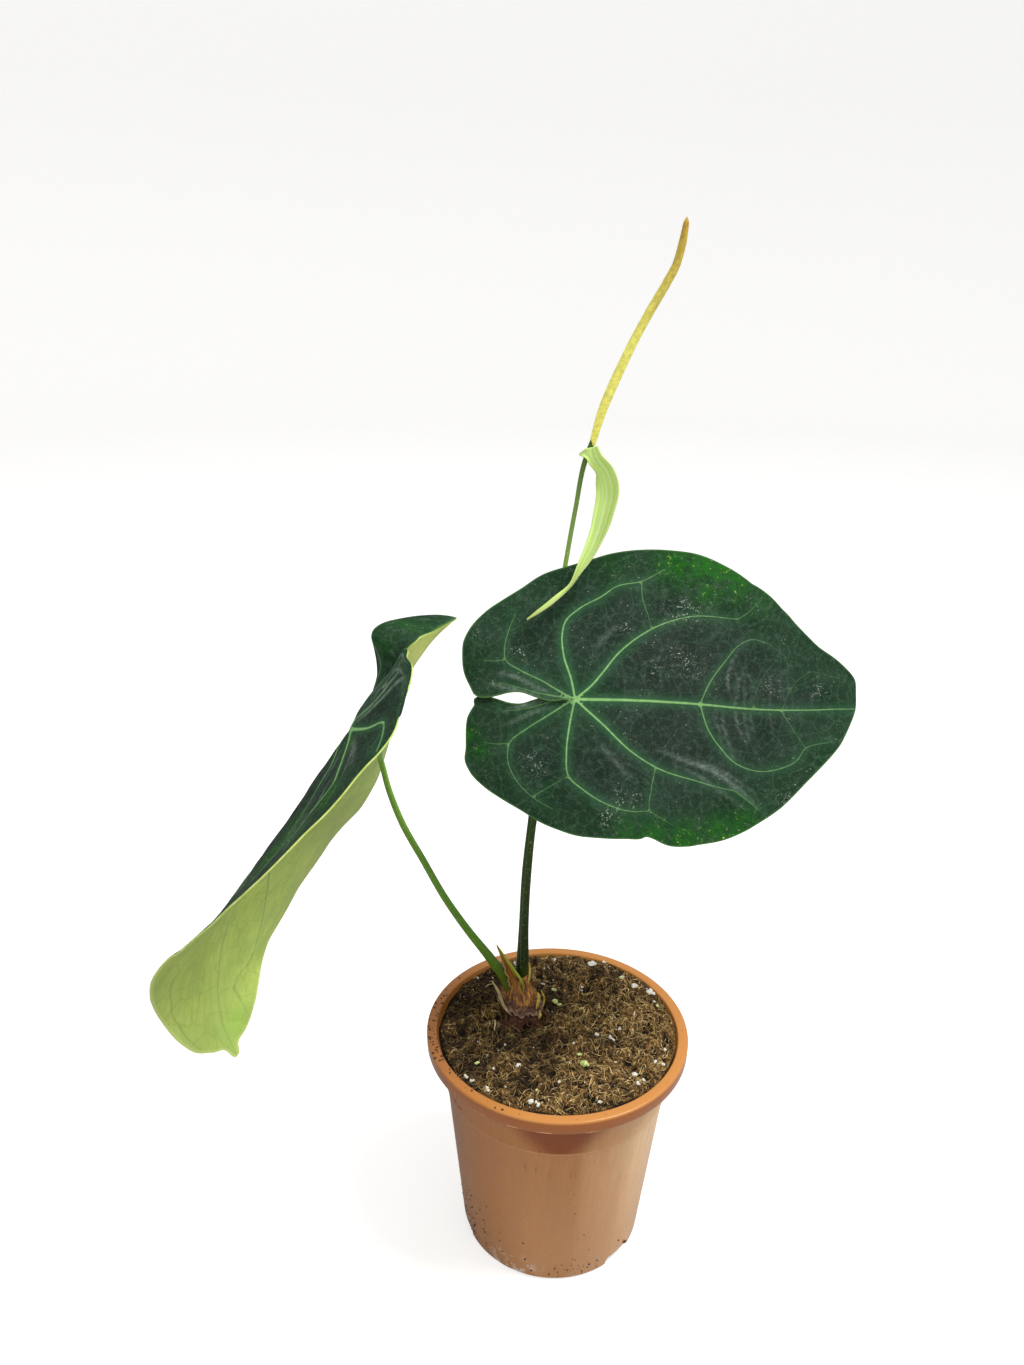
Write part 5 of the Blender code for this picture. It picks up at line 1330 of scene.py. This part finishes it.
def build_stem_base():
    """The short stem: a dark core, dry sheaths wrapped aslant round it over frayed skirts, and shreds."""
    core = mottled("Old stem", "#24130c", "#6b3d24", 0.0016, 0.9, 0.0004)
    shape = bmesh.new()

    def core_form(u, v):
        angle = 2 * pi * u
        z = v * 1.25 - 0.3
        radius = np.interp(z, *np.array(STEM_CORE_RADII).T)
        radius = radius + 0.5 * hashed(3 * np.cos(angle), 3 * np.sin(angle), z * 6, 1.0)
        centre = stem_point(z)
        return centre + np.stack([np.cos(angle), np.sin(angle), 0 * angle], axis=-1) * radius[:, None]

    formed_grid(shape, 36, 30, core_form, closed=True)
    bmesh.ops.recalc_face_normals(shape, faces=shape.faces)
    piece_of(shape, "stem_core", "dry_sheath", [core], "stem_base")
    golden = papery_sheath("Dry golden sheath", "#c98b36", "#84501e", "#3a210f", "#7a5246")
    frayed = papery_sheath("Frayed sheath", "#8d6453", "#553427", "#2f1d18", "#a98977")
    for name, material, strips, fray, flare, first in (
        ("stem_sheaths", golden, SHEATHS, 0.08, 0.5, 0), ("stem_skirts", frayed, SKIRTS, 0.11, 1.1, 10),
    ):
        shape = bmesh.new()
        for number, strip in enumerate(strips, first):
            wrapped_strip(shape, strip, fray, number, flare)
        thickened(piece_of(shape, name, "dry_sheath", [material]), PAPER * MM)
    husk = mottled("Bleached husk", "#a3832f", "#e0cb5e", 0.0018, 0.6, 0.0002)
    straw = mottled("Straw", "#8a744a", "#cdb98a", 0.0018, 0.6, 0.0002)
    for name, material, ribbons in (("stem_flakes", husk, FLAKES), ("stem_curl", straw, CURLS)):
        shape = bmesh.new()
        for route, width in ribbons:
            ribbon(shape, route, width)
        thickened(piece_of(shape, name, "dry_sheath", [material]), SHRED * MM)
    random = Random(3)
    routes, widths = [], []
    middle, spread = ROOT_HEADING
    for _ in range(ROOT_STUBS):
        heading = radians(middle + random.gauss(0, spread))
        start = random.uniform(6.2, 7.6)
        reach = random.uniform(2.5, 7.5)
        route = []
        for step in range(5):
            share = step / 4
            out = start + reach * share
            z = ROOT_TOP_Z + random.uniform(-0.4, 0.8) - ROOT_DROP * share**1.3 + random.uniform(-0.3, 0.3)
            swing = heading + 0.35 * share * random.uniform(-1, 1)
            route.append((STEM_COLLAR[0] + out * cos(swing), STEM_COLLAR[1] + out * sin(swing), z))
        routes.append(smooth_route(route, 9))
        widths.append(random.uniform(0.35, 0.95))
    strands("stem_roots", "dry_sheath", core, routes, widths)


def build_young_sheath():
    """The young sheath: a pointed strip rolled to a half tube that opens towards the back."""
    line = smooth_route(YOUNG_SHEATH, 80)
    across, face = route_frames(line, np.array([1.0, -0.15, 0.0]))
    shares = np.linspace(0.0, 1.0, len(line))

    def form(u, v):
        centre, sideways, up = between(v, shares, line, across, face)
        half = smooth_curve(YOUNG_SHEATH_WIDTHS, v)
        angle = YOUNG_SHEATH_ROLL * (2 * u - 1)
        torn = 0.5 * np.exp(-((u / 0.12) ** 2)) * hashed(v * 11, 3.0, 1.0, 1.0)
        flat = half * np.sin(angle) * (1.0 + torn)
        deep = half * 0.75 * (np.cos(angle) - 1.0) + 0.15 * hashed(u * 5, v * 6, 8.0, 1.0)
        return centre + sideways * flat[:, None] + up * deep[:, None]

    shape = bmesh.new()
    formed_grid(shape, 32, 70, form)
    piece = piece_of(shape, "young_sheath_skin", "young_sheath", [young_tissue()], "young_sheath")
    thickened(piece, YOUNG_SHEATH_THICKNESS * MM)


class Blade:
    """A heart-shaped blade laid along its midrib; a flat point is along the midrib and across it."""

    def __init__(self, midrib, side, roots, slopes, folds, turns, scale, halves, overlap, lift, pushes):
        self.scale, self.halves, self.pushes = scale, halves, pushes
        self.roots, self.slopes, self.folds, self.turns = roots, slopes, folds, turns
        self.overlap, self.lift = overlap, lift
        self.along = np.arange(-60.0, 151.0, 1.0)
        self.rib = smooth_curve(midrib, self.along)
        self.across, self.face = route_frames(self.rib, np.array(side))

    def outline(self, spacing):
        """The flat edge, once round from the tip, over the first half, the slit and the other half."""
        halves = []
        for stations, sign in zip(self.halves, (1.0, -1.0)):
            fine = np.linspace(0.0, LOBE_ANGLE, 1200)
            edge = polar(smooth_curve(stations, fine), fine)
            slit = [edge[-1], *((-distance, half) for distance, half in SINUS)]
            slit = smooth_route(slit, int(SINUS_LENGTH / spacing))
            walked = walk(edge)
            even = np.linspace(0.0, walked[-1], int(walked[-1] / spacing) + 1)
            halves.append(np.vstack([*between(even, walked, edge), slit[1:]]) * (1.0, sign))
        return np.vstack([halves[0], [(-SINUS_ROOT, 0.0)], halves[1][:0:-1]])

    def place(self, flat):
        """Where flat points lie on the blade's middle surface."""
        a, b = flat[..., 0], flat[..., 1]
        origin, across, face = between(a, self.along, self.rib, self.across, self.face)
        out = np.abs(b)
        sign = np.where(b >= 0, 1.0, -1.0)
        root, slope, fold, turn = (
            np.where(b >= 0, smooth_curve(pair[0], a), smooth_curve(pair[1], a))
            for pair in (self.roots, self.slopes, self.folds, self.turns)
        )
        sideways = np.zeros_like(out)
        down = np.zeros_like(out)
        steps = 16
        for k in range(steps):
            reach = out * (k + 0.5) / steps
            share = reach / fold
            settled = 1 - np.exp(-share * share / 2 - share / 4)
            angle = np.radians(root + (slope - root) * settled + turn * reach / 50)
            sideways += np.cos(angle) * out / steps
            down += np.sin(angle) * out / steps
        near_slit = np.exp(-out / LOBE_REACH)
        sideways += smooth_curve(self.overlap, -a) * near_slit
        raised = self.lift * near_slit * np.clip(-a / 6, 0.0, 1.0) * sign + self.wave(a, b)
        offset = across * (sign * sideways)[..., None] + face * (raised - down)[..., None]
        place = origin + self.scale * offset
        for push_a, push_b, radius, push in self.pushes:
            near = np.exp(-((a - push_a) ** 2 + (b - push_b) ** 2) / radius**2) * (sign == np.sign(push_b))
            place = place + near[..., None] * np.array(push)
        return place

    def wave(self, a, b):
        """The margin's gentle waves, growing from the middle of the blade outwards."""
        angle = np.degrees(np.arctan2(np.abs(b), a))
        outward = np.clip(np.hypot(a, b) / smooth_curve(self.halves[0], angle), 0.0, 1.0) ** 3
        swing = np.sin(np.radians(angle) * MARGIN_WAVES + np.where(b >= 0, 0.4, 1.9))
        return MARGIN_WAVE_HEIGHT * outward * swing * np.sin(np.radians(np.clip(angle, 0, LOBE_ANGLE)))

    def normal(self, flat):
        step = 0.05
        a_step, b_step = np.array([step, 0.0]), np.array([0.0, step])
        along = self.place(flat + a_step) - self.place(flat - a_step)
        across = self.place(flat + b_step) - self.place(flat - b_step)
        return unit(np.cross(along, across))

    def seat(self, depth):
        """The point at a depth behind the junction, square to the blade."""
        junction = np.zeros((1, 2))
        return (self.place(junction) - self.normal(junction) * depth)[0]


def flat_line(stations, spacing):
    """A flat line through (distance, degrees) stations."""
    knots = polar(*np.array(stations, float).T)
    length = walk(knots)[-1]
    return smooth_route(knots, max(3, int(length / spacing) + 1))


def distances(line, flat):
    """Distance from each flat point to a line, and the share of the line at its nearest place."""
    nearest = np.full(len(flat), 1e9)
    share = np.zeros(len(flat))
    low, high = line.min(axis=0) - 8.0, line.max(axis=0) + 8.0
    near = np.flatnonzero(((flat > low) & (flat < high)).all(axis=1))
    close, part = nearest[near], share[near]
    walked = walk(line)
    for i in range(len(line) - 1):
        step = line[i + 1] - line[i]
        t = np.clip((flat[near] - line[i]) @ step / (step @ step), 0.0, 1.0)
        gap = np.linalg.norm(flat[near] - line[i] - t[:, None] * step, axis=1)
        better = gap < close
        close[better] = gap[better]
        part[better] = (walked[i] + t[better] * (walked[i + 1] - walked[i])) / walked[-1]
    nearest[near], share[near] = close, part
    return nearest, share


def inside(points, loop):
    """Which flat points lie inside a closed flat loop."""
    start, end = loop, np.roll(loop, -1, axis=0)
    y = points[:, 1][:, None]
    spans = (start[:, 1] > y) != (end[:, 1] > y)
    rise = np.where(end[:, 1] == start[:, 1], 1.0, end[:, 1] - start[:, 1])
    crossing = start[:, 0] + (end[:, 0] - start[:, 0]) * (y - start[:, 1]) / rise
    return np.count_nonzero(spans & (points[:, 0][:, None] < crossing), axis=1) % 2 == 1


def leaf_triangles(blade, veins, spacing):
    """Flat points and triangles that follow the leaf's edge and its veins, which no one operator lays."""
    edge = blade.outline(spacing)
    lines = [flat_line(stations, spacing) for _, _, _, stations in veins]
    points = list(edge)
    links = [(i, (i + 1) % len(edge)) for i in range(len(edge))]
    for line in lines:
        first = len(points)
        points += list(line)
        links += [(first + i, first + i + 1) for i in range(len(line) - 1)]
    a, b = np.meshgrid(np.arange(-55.0, 140.0, spacing), np.arange(-75.0, 75.0, spacing * 0.87))
    a = a + (np.arange(len(a)) % 2)[:, None] * spacing / 2
    inner = np.stack([a.ravel(), b.ravel()], axis=1)
    inner = inner[inside(inner, edge)]
    kept = np.array(points)
    clear = np.array([np.min(np.hypot(*(kept - p).T)) > 0.6 * spacing for p in inner])
    points = np.vstack([kept, inner[clear]])
    flat, _, triangles, _, _, _ = delaunay_2d_cdt([Vector(p) for p in points], links, [], 1, 0.001)
    return np.array([tuple(p) for p in flat]), [tuple(t) for t in triangles], edge


def spots(flat, marks):
    """Soft round marks, the strongest at each point."""
    total = np.zeros(len(flat))
    for distance, angle, radius, strength in marks:
        gap = np.linalg.norm(flat - polar(distance, angle), axis=1)
        total = np.maximum(total, strength * np.exp(-((gap / radius) ** 2)))
    return total


def build_leaf(name, node, blade, veins, folds, fresh, scuffs, settings, materials):
    """One leaf blade: two faces of like triangles, veins raised on both, tissue swelling between them."""
    spacing = settings.spacing / MM / blade.scale
    flat, triangles, edge = leaf_triangles(blade, veins, spacing)
    vein = np.full(len(flat), 50.0)
    strength, halo, ridge, fold = np.zeros((4, len(flat)))
    swell = np.ones(len(flat))
    for power, wide, narrow, stations in veins:
        gap, share = distances(flat_line(stations, spacing), flat)
        width = wide + (narrow - wide) * share
        fade = np.minimum(1.0, power * (1.0 - 0.6 * share**1.4))
        ratio = gap / width
        nearer = ratio < vein
        vein[nearer] = ratio[nearer]
        strength[nearer] = fade[nearer]
        halo = np.maximum(halo, fade * np.exp(-((gap / HALO_REACH) ** 2)))
        ridge = np.maximum(ridge, fade * np.exp(-((gap / RIDGE_REACH) ** 2)))
        swell = np.minimum(swell, 1.0 - power * np.exp(-((gap / SWELL_REACH) ** 2)))
    # Folds: raised a little here, and painted with a grey sheen by the velvet's colour
    for power, width, stations in folds:
        gap, share = distances(flat_line(stations, spacing), flat)
        ends = np.sin(pi * np.clip(share, 0.06, 0.94))
        fold = np.maximum(fold, power * np.exp(-((gap / width) ** 2)) * ends)
    rim = distances(np.vstack([edge, edge[:1]]), flat)[0]
    settle = np.clip(rim / MARGIN, 0.0, 1.0)
    lumps = 0.22 * hashed(flat[:, 0], flat[:, 1], 3.0, 9.0) + 0.12 * hashed(flat[:, 0], flat[:, 1], 9.0, 3.6)
    raised = (SWELL_HEIGHT * (swell - 0.5) + lumps + FOLD_HEIGHT * fold) * settle
    normal = blade.normal(flat)
    middle = blade.place(flat) + normal * raised[:, None]
    half = settings.thickness / MM / 2
    top = middle + normal * (half + RIDGE_ABOVE * ridge)[:, None]
    bottom = middle - normal * (half + RIDGE_BELOW * ridge)[:, None]
    count = len(flat)
    faces = triangles + [tuple(i + count for i in reversed(t)) for t in triangles]
    sides = {side for a, b, c in triangles for side in ((a, b), (b, c), (c, a))}
    wall = [(b, a, a + count, b + count) for a, b in sides if (b, a) not in sides]
    mesh = bpy.data.meshes.new(name)
    mesh.from_pydata([tuple(p) for p in np.vstack([top, bottom]) * MM], [], faces + wall)
    kinds = [0] * len(triangles) + [1] * len(triangles) + [2] * len(wall)
    mesh.polygons.foreach_set("material_index", kinds)
    layer = mesh.uv_layers.new(name="UVMap")
    corners = np.empty(len(mesh.loops), int)
    mesh.loops.foreach_get("vertex_index", corners)
    layer.data.foreach_set("uv", (flat[corners % count] / 100.0).ravel())
    values = {
        "vein": vein, "strength": strength, "halo": halo, "fold": fold, "fresh": spots(flat, fresh),
        "scuff": spots(flat, scuffs), "margin": rim,
    }
    for key, value in values.items():
        data = mesh.attributes.new(key, "FLOAT", "POINT").data
        data.foreach_set("value", np.tile(np.minimum(value, 50.0), 2).astype(np.float32))
    return dressed(bpy.data.objects.new(name, mesh), materials, (node,))


def build_spathe(settings):
    """The bract: a strip that narrows to a point, cups along its length and twists near its end."""
    route = smooth_route(SPATHE_ROUTE, 300)
    across, face = route_frames(route, np.array([1.0, -0.2, 0.0]))
    shares = np.linspace(0.0, 1.0, len(route))

    def form(u, v):
        x = 2 * u - 1
        centre, sideways, up = between(v, shares, route, across, face)
        half = smooth_curve(SPATHE_WIDTHS, v)
        turn = np.radians(smooth_curve(SPATHE_TURNS, v))[:, None]
        side = sideways * np.cos(turn) + up * np.sin(turn)
        out = up * np.cos(turn) - sideways * np.sin(turn)
        ribs = 0.12 * np.cos(7 * pi * u) * np.minimum(1.0, half / 3)
        ruffle = 0.35 * np.abs(x) ** 3 * hashed(v * 9, x, 4.0, 1.0)
        lift = SPATHE_CUP * half * x * x + ribs + ruffle
        # An ear at the foot of the left edge, and a pinch above it
        left = np.clip(-x, 0.0, 1.0)
        ear = 3.2 * np.exp(-(((v - 0.022) / 0.014) ** 2)) * left**2
        pinch = 2.4 * np.exp(-(((v - 0.11) / 0.055) ** 2)) * left
        return centre + side * (half * x - ear + pinch)[:, None] + out * lift[:, None]

    shape = bmesh.new()
    formed_grid(shape, 36, 150, form)
    piece = piece_of(shape, "bract", "bract", [waxy_bract(settings)], "spathe")
    thickened(piece, settings.bract_thickness)


def build_spadix(settings):
    """The spike: a tube whose skin rises in domed florets along two families of spirals."""
    length = walk(np.array(SPADIX_ROUTE, float))[-1]

    def florets(u, v):
        turn = FLORET_SPIRALS * 2 * pi * u
        steps = v * length / FLORET_PITCH
        weave = np.cos(turn + pi * steps) * np.cos(turn - pi * steps)
        ends = np.clip(np.minimum(v / 0.03, (1 - v) / 0.02), 0.0, 1.0)
        return np.abs(weave) ** 0.7 * ends

    shape = bmesh.new()
    form = tube_form(SPADIX_ROUTE, SPADIX_RADII, lambda u, v: FLORET_HEIGHT * florets(u, v) - 0.16)
    formed_grid(shape, 64, 420, form, closed=True)
    bmesh.ops.recalc_face_normals(shape, faces=shape.faces)
    piece = piece_of(shape, "spadix_florets", "spadix", [floret_skin(settings)], "spadix")
    layer = piece.data.uv_layers["UVMap"].data
    values = np.zeros(len(piece.data.vertices))
    uv = np.empty(len(layer) * 2)
    layer.foreach_get("uv", uv)
    corners = np.empty(len(piece.data.loops), int)
    piece.data.loops.foreach_get("vertex_index", corners)
    values[corners] = florets(uv[::2], uv[1::2])
    piece.data.attributes.new("floret", "FLOAT", "POINT").data.foreach_set("value", values.astype(np.float32))


# Settings


def colour_setting(name, description, colour):
    return bpy.props.FloatVectorProperty(
        name=name, description=description, subtype="COLOR", size=3, min=0.0, max=1.0,
        default=linear(colour)[:3],
    )


def length_setting(name, description, value, low, high):
    return bpy.props.FloatProperty(
        name=name, description=description, default=value, min=low, max=high, unit="LENGTH",
        subtype="DISTANCE",
    )


def number_setting(name, description, value, low, high, unit="NONE"):
    return bpy.props.FloatProperty(
        name=name, description=description, default=value, min=low, max=high, unit=unit,
    )


def count_setting(name, description, value, low, high):
    return bpy.props.IntProperty(name=name, description=description, default=value, min=low, max=high)


class PotSettings(bpy.types.PropertyGroup):
    """Sizes and colours of the pot"""

    height: length_setting("Height", "From the foot to the top of the rim", POT_HIGH.z, 0.09, 0.12)
    collar: length_setting("Collar", "Height of the rolled collar", COLLAR * MM, 0.004, 0.012)
    plastic: colour_setting("Plastic", "Colour of the rim", "#be7e3d")
    # Painted shade: the collar's side is a darker copy of the rim's plastic
    collar_shade_plastic: colour_setting("Collar plastic", "Colour of the collar's side", "#9a5720")
    # Painted shade: the wall below the collar is a darker copy of the rim's plastic
    wall_shade_plastic: colour_setting("Worn plastic", "Colour of the rubbed wall", "#a57040")
    # Painted highlight: the lit side of the wall lightens to this colour
    lit_side_plastic: colour_setting("Bleached plastic", "Colour of the side that has bleached", "#e6bd8b")


class SoilSettings(bpy.types.PropertyGroup):
    """Colours and amounts of the soil"""

    peat: colour_setting("Peat", "Colour of moist peat", "#150e08")
    dry_peat: colour_setting("Dry peat", "Colour of peat that has dried", "#9a713f")
    crumbs: count_setting("Crumbs", "Loose crumbs of peat", 3200, 0, 4000)
    fibres: count_setting("Fibres", "Coir fibres on top", 2600, 0, 3000)
    perlite_dust: count_setting("Perlite dust", "Small perlite grains", 110, 0, 400)


class LeafSettings(bpy.types.PropertyGroup):
    """Sizes and colours of the leaves"""

    spacing: length_setting("Spacing", "Distance between mesh points", 1.15 * MM, 0.0008, 0.004)
    thickness: length_setting("Thickness", "Thickness of a blade between veins", 0.6 * MM, 0.0003, 0.0012)
    velvet: colour_setting("Velvet", "Upper face in shade", "#16281b")
    # Painted sheen: the grey that grazing light gives the velvet
    velvet_sheen: colour_setting("Velvet grey", "Upper face where it greys", "#2a382f")
    vein: colour_setting("Vein", "Veins on the upper face", "#8ab872")
    fresh: colour_setting("Fresh", "Bright patches near the edge", "#1d5d11")
    underside: colour_setting("Underside", "Underside in light", "#b2c663")
    underside_deep: colour_setting("Underside deep", "Darker clouds of the underside", "#a1b85e")


class StalkSettings(bpy.types.PropertyGroup):
    """Sides of the stalks"""

    sides: count_setting("Sides", "Faces round a stalk", 20, 8, 48)


class BloomSettings(bpy.types.PropertyGroup):
    """Sizes and colours of the bloom"""

    bract_thickness: length_setting("Bract thickness", "Thickness of the bract", 0.6 * MM, 0.0003, 0.0012)
    bract: colour_setting("Bract", "Colour of the bract", "#b6dc53")
    bract_pale: colour_setting("Pale bract", "Its paler streaks", "#d3e6a2")
    spadix: colour_setting("Spadix", "Colour of the spadix", "#f3ee78")
    spadix_tip: colour_setting("Spadix tip", "Colour near its tip", "#b8942c")


class StageSettings(bpy.types.PropertyGroup):
    """Floor, lights and camera"""

    floor: colour_setting("Floor", "Colour of the floor and backdrop", "#c6c5c3")
    glow: number_setting("Glow", "How far the backdrop is lit from behind", 0.62, 0.0, 2.0)
    key: number_setting("Key light", "Power of the main light", 17.0, 0.0, 100.0, "POWER")
    fill: number_setting("Fill light", "Power of the second light", 4.5, 0.0, 100.0, "POWER")
    sky: number_setting("Sky", "Strength of the even light", 0.72, 0.0, 4.0)
    lens: number_setting("Lens", "Focal length on a 36 mm side", 28.62, 10.0, 200.0, "CAMERA")


# Operators


class ANTHURIUM_OT_pot(bpy.types.Operator):
    """Make the nursery pot and the specks of dried peat on it"""

    bl_idname = "anthurium.pot"
    bl_label = "Pot"

    def execute(self, context):
        build_pot(context.scene.anthurium_pot)
        build_pot_dirt()
        return {"FINISHED"}


class ANTHURIUM_OT_soil(bpy.types.Operator):
    """Make the peat and what lies on it"""

    bl_idname = "anthurium.soil"
    bl_label = "Soil"

    def execute(self, context):
        settings = context.scene.anthurium_soil
        build_soil_litter(settings, build_soil(settings))
        return {"FINISHED"}


class ANTHURIUM_OT_stem(bpy.types.Operator):
    """Make the stem base with its dry sheaths"""

    bl_idname = "anthurium.stem"
    bl_label = "Stem base"

    def execute(self, context):
        build_stem_base()
        return {"FINISHED"}


class ANTHURIUM_OT_stalks(bpy.types.Operator):
    """Make both petioles, the peduncle and the young sheath"""

    bl_idname = "anthurium.stalks"
    bl_label = "Stalks"

    def execute(self, context):
        sides = context.scene.anthurium_stalks.sides
        bright = live_stalk("Bright petiole skin", "#55541a", "#558420", "#6d9c2c", (0.02, 0.2, 0.8))
        dark = live_stalk("Dark petiole skin", "#55661a", "#1f2f0c", "#3f5a1e", (0.0, 0.12, 0.95), 0.5)
        green = live_stalk("Peduncle skin", "#33501a", "#8eb356", "#3f5c1c", (0.4, 0.78, 1.0))
        for name, slot, material, blade, route, radii in (
            ("petiole_left_skin", "bright_stalk", bright, LEFT_BLADE, LEFT_PETIOLE, LEFT_PETIOLE_RADII),
            ("petiole_right_skin", "dark_stalk", dark, RIGHT_BLADE, RIGHT_PETIOLE, RIGHT_PETIOLE_RADII),
        ):
            route = [*route, *(Blade(**blade).seat(depth) for depth in PETIOLE_ENDS)]
            tube(name, slot, material, route, radii, name.removesuffix("_skin"), sides)
        tube("peduncle_skin", "peduncle", green, PEDUNCLE, PEDUNCLE_RADII, "peduncle", sides)
        build_young_sheath()
        return {"FINISHED"}


class ANTHURIUM_OT_leaves(bpy.types.Operator):
    """Make both velvet leaves"""

    bl_idname = "anthurium.leaves"
    bl_label = "Leaves"

    def execute(self, context):
        settings = context.scene.anthurium_leaves
        under = leaf_underside(settings)
        top = velvet_leaf(settings)
        edge = mottled("Leaf edge", "#3f5c2b", "#5f7f3c", 0.004, 0.5)
        lit_edge = mottled("Young leaf edge", "#a3b853", "#c3d27a", 0.004, 0.5)
        build_leaf(
            "leaf_right", "blade_right", Blade(**RIGHT_BLADE), RIGHT_VEINS, RIGHT_FOLDS, RIGHT_FRESH,
            RIGHT_SCUFFS, settings, [top, under, edge],
        )
        build_leaf(
            "leaf_left", "blade_left", Blade(**LEFT_BLADE), LEFT_VEINS, LEFT_FOLDS, LEFT_FRESH,
            LEFT_SCUFFS, settings, [top, under, lit_edge],
        )
        return {"FINISHED"}


class ANTHURIUM_OT_bloom(bpy.types.Operator):
    """Make the bract and the spadix"""

    bl_idname = "anthurium.bloom"
    bl_label = "Bloom"

    def execute(self, context):
        settings = context.scene.anthurium_bloom
        build_spathe(settings)
        build_spadix(settings)
        return {"FINISHED"}


class ANTHURIUM_OT_stage(bpy.types.Operator):
    """Set the floor, the lights and the camera"""

    bl_idname = "anthurium.stage"
    bl_label = "Stage"

    def execute(self, context):
        settings = context.scene.anthurium_stage
        scene = context.scene
        m, add = new_material("Matt paper backdrop")
        fibre = add("TexNoise", Vector=add("TexCoord", output=3), Scale=40.0, Detail=2.0)
        tone = add("MapRange", fibre, 0.3, 0.7, 0.985, 1.0)
        # Lit from behind as the lens sees it, so the paper throws little light on the plant
        glow = add("Math", add("LightPath"), settings.glow, operation="MULTIPLY")
        finish_material(
            m, settings.floor, [(1.0, tone, "MULTIPLY")], Roughness=0.8, Specular_IOR_Level=0.2,
            Emission_Color="#fbfbfb", Emission_Strength=glow,
        )
        shape = bmesh.new()
        flat, bend, top = BACKDROP_RADIUS / MM, BACKDROP_BEND / MM, BACKDROP_TOP / MM
        curve = [(flat + bend * sin(a), bend - bend * cos(a)) for a in np.linspace(0, pi / 2, 16)]
        turned_profile(shape, [(0.0, 0.0), (400.0, 0.0), *curve, (flat + bend, top)], 96)
        for face in shape.faces:
            if face.normal.z < -0.001 or face.normal.xy.dot(face.calc_center_median().xy) > 0.001:
                face.normal_flip()
        mesh = bpy.data.meshes.new("backdrop")
        shape.to_mesh(mesh)
        shape.free()
        mesh.materials.append(m)
        mesh.shade_smooth()
        floor = bpy.data.objects.new("backdrop", mesh)
        scene.collection.objects.link(floor)
        world = bpy.data.worlds.new("Soft studio")
        world.use_nodes = True
        sky = world.node_tree.nodes["Background"].inputs
        sky["Color"].default_value = (1.0, 1.0, 1.0, 1.0)
        sky["Strength"].default_value = settings.sky
        scene.world = world
        for name, position, size, power in (
            ("key", (0.6, -0.15, 1.35), 0.45, settings.key),
            ("fill", (-0.55, -0.95, 0.85), 0.9, settings.fill),
        ):
            light = bpy.data.objects.new(name, bpy.data.lights.new(name, "AREA"))
            light.data.shape = "SQUARE"
            light.data.size = size
            light.data.energy = power
            light.location = position
            light.rotation_euler = (Vector(LIGHTS_AIM) - light.location).to_track_quat("-Z", "Y").to_euler()
            scene.collection.objects.link(light)
        camera = bpy.data.objects.new("camera", bpy.data.cameras.new("camera"))
        camera.data.sensor_width = 36.0
        camera.data.lens = settings.lens
        camera.data.clip_start = 0.01
        pitch = Matrix.Rotation(radians(90.0 - CAMERA_PITCH), 4, "X")
        roll = Matrix.Rotation(radians(CAMERA_ROLL), 4, "Z")
        camera.matrix_world = Matrix.Translation(CAMERA_PLACE) @ pitch @ roll
        scene.collection.objects.link(camera)
        scene.camera = camera
        scene.view_settings.view_transform = "Standard"
        return {"FINISHED"}


class ANTHURIUM_PT_pieces(bpy.types.Panel):
    """Lists the pieces of the plant and the stage"""

    bl_label = "Potted anthurium"
    bl_idname = "ANTHURIUM_PT_pieces"
    bl_space_type = "VIEW_3D"
    bl_region_type = "UI"
    bl_category = "Anthurium"

    def draw(self, context):
        for operator in OPERATORS:
            self.layout.operator(operator.bl_idname)
        for group in GROUPS:
            box = self.layout.box()
            settings = getattr(context.scene, group)
            for name in settings.bl_rna.properties.keys():
                if name not in {"rna_type", "name"}:
                    box.prop(settings, name)


GROUPS = {
    "anthurium_pot": PotSettings,
    "anthurium_soil": SoilSettings,
    "anthurium_leaves": LeafSettings,
    "anthurium_stalks": StalkSettings,
    "anthurium_bloom": BloomSettings,
    "anthurium_stage": StageSettings,
}
OPERATORS = (
    ANTHURIUM_OT_pot,
    ANTHURIUM_OT_soil,
    ANTHURIUM_OT_stem,
    ANTHURIUM_OT_stalks,
    ANTHURIUM_OT_leaves,
    ANTHURIUM_OT_bloom,
    ANTHURIUM_OT_stage,
)


def register():
    for cls in (*GROUPS.values(), *OPERATORS, ANTHURIUM_PT_pieces):
        bpy.utils.register_class(cls)
    for name, group in GROUPS.items():
        setattr(bpy.types.Scene, name, bpy.props.PointerProperty(type=group))


def unregister():
    for name in GROUPS:
        delattr(bpy.types.Scene, name)
    for cls in reversed((*GROUPS.values(), *OPERATORS, ANTHURIUM_PT_pieces)):
        bpy.utils.unregister_class(cls)


def main():
    register()
    for operator in OPERATORS:
        area, action = operator.bl_idname.split(".")
        getattr(getattr(bpy.ops, area), action)()


if __name__ == "__main__":
    main()
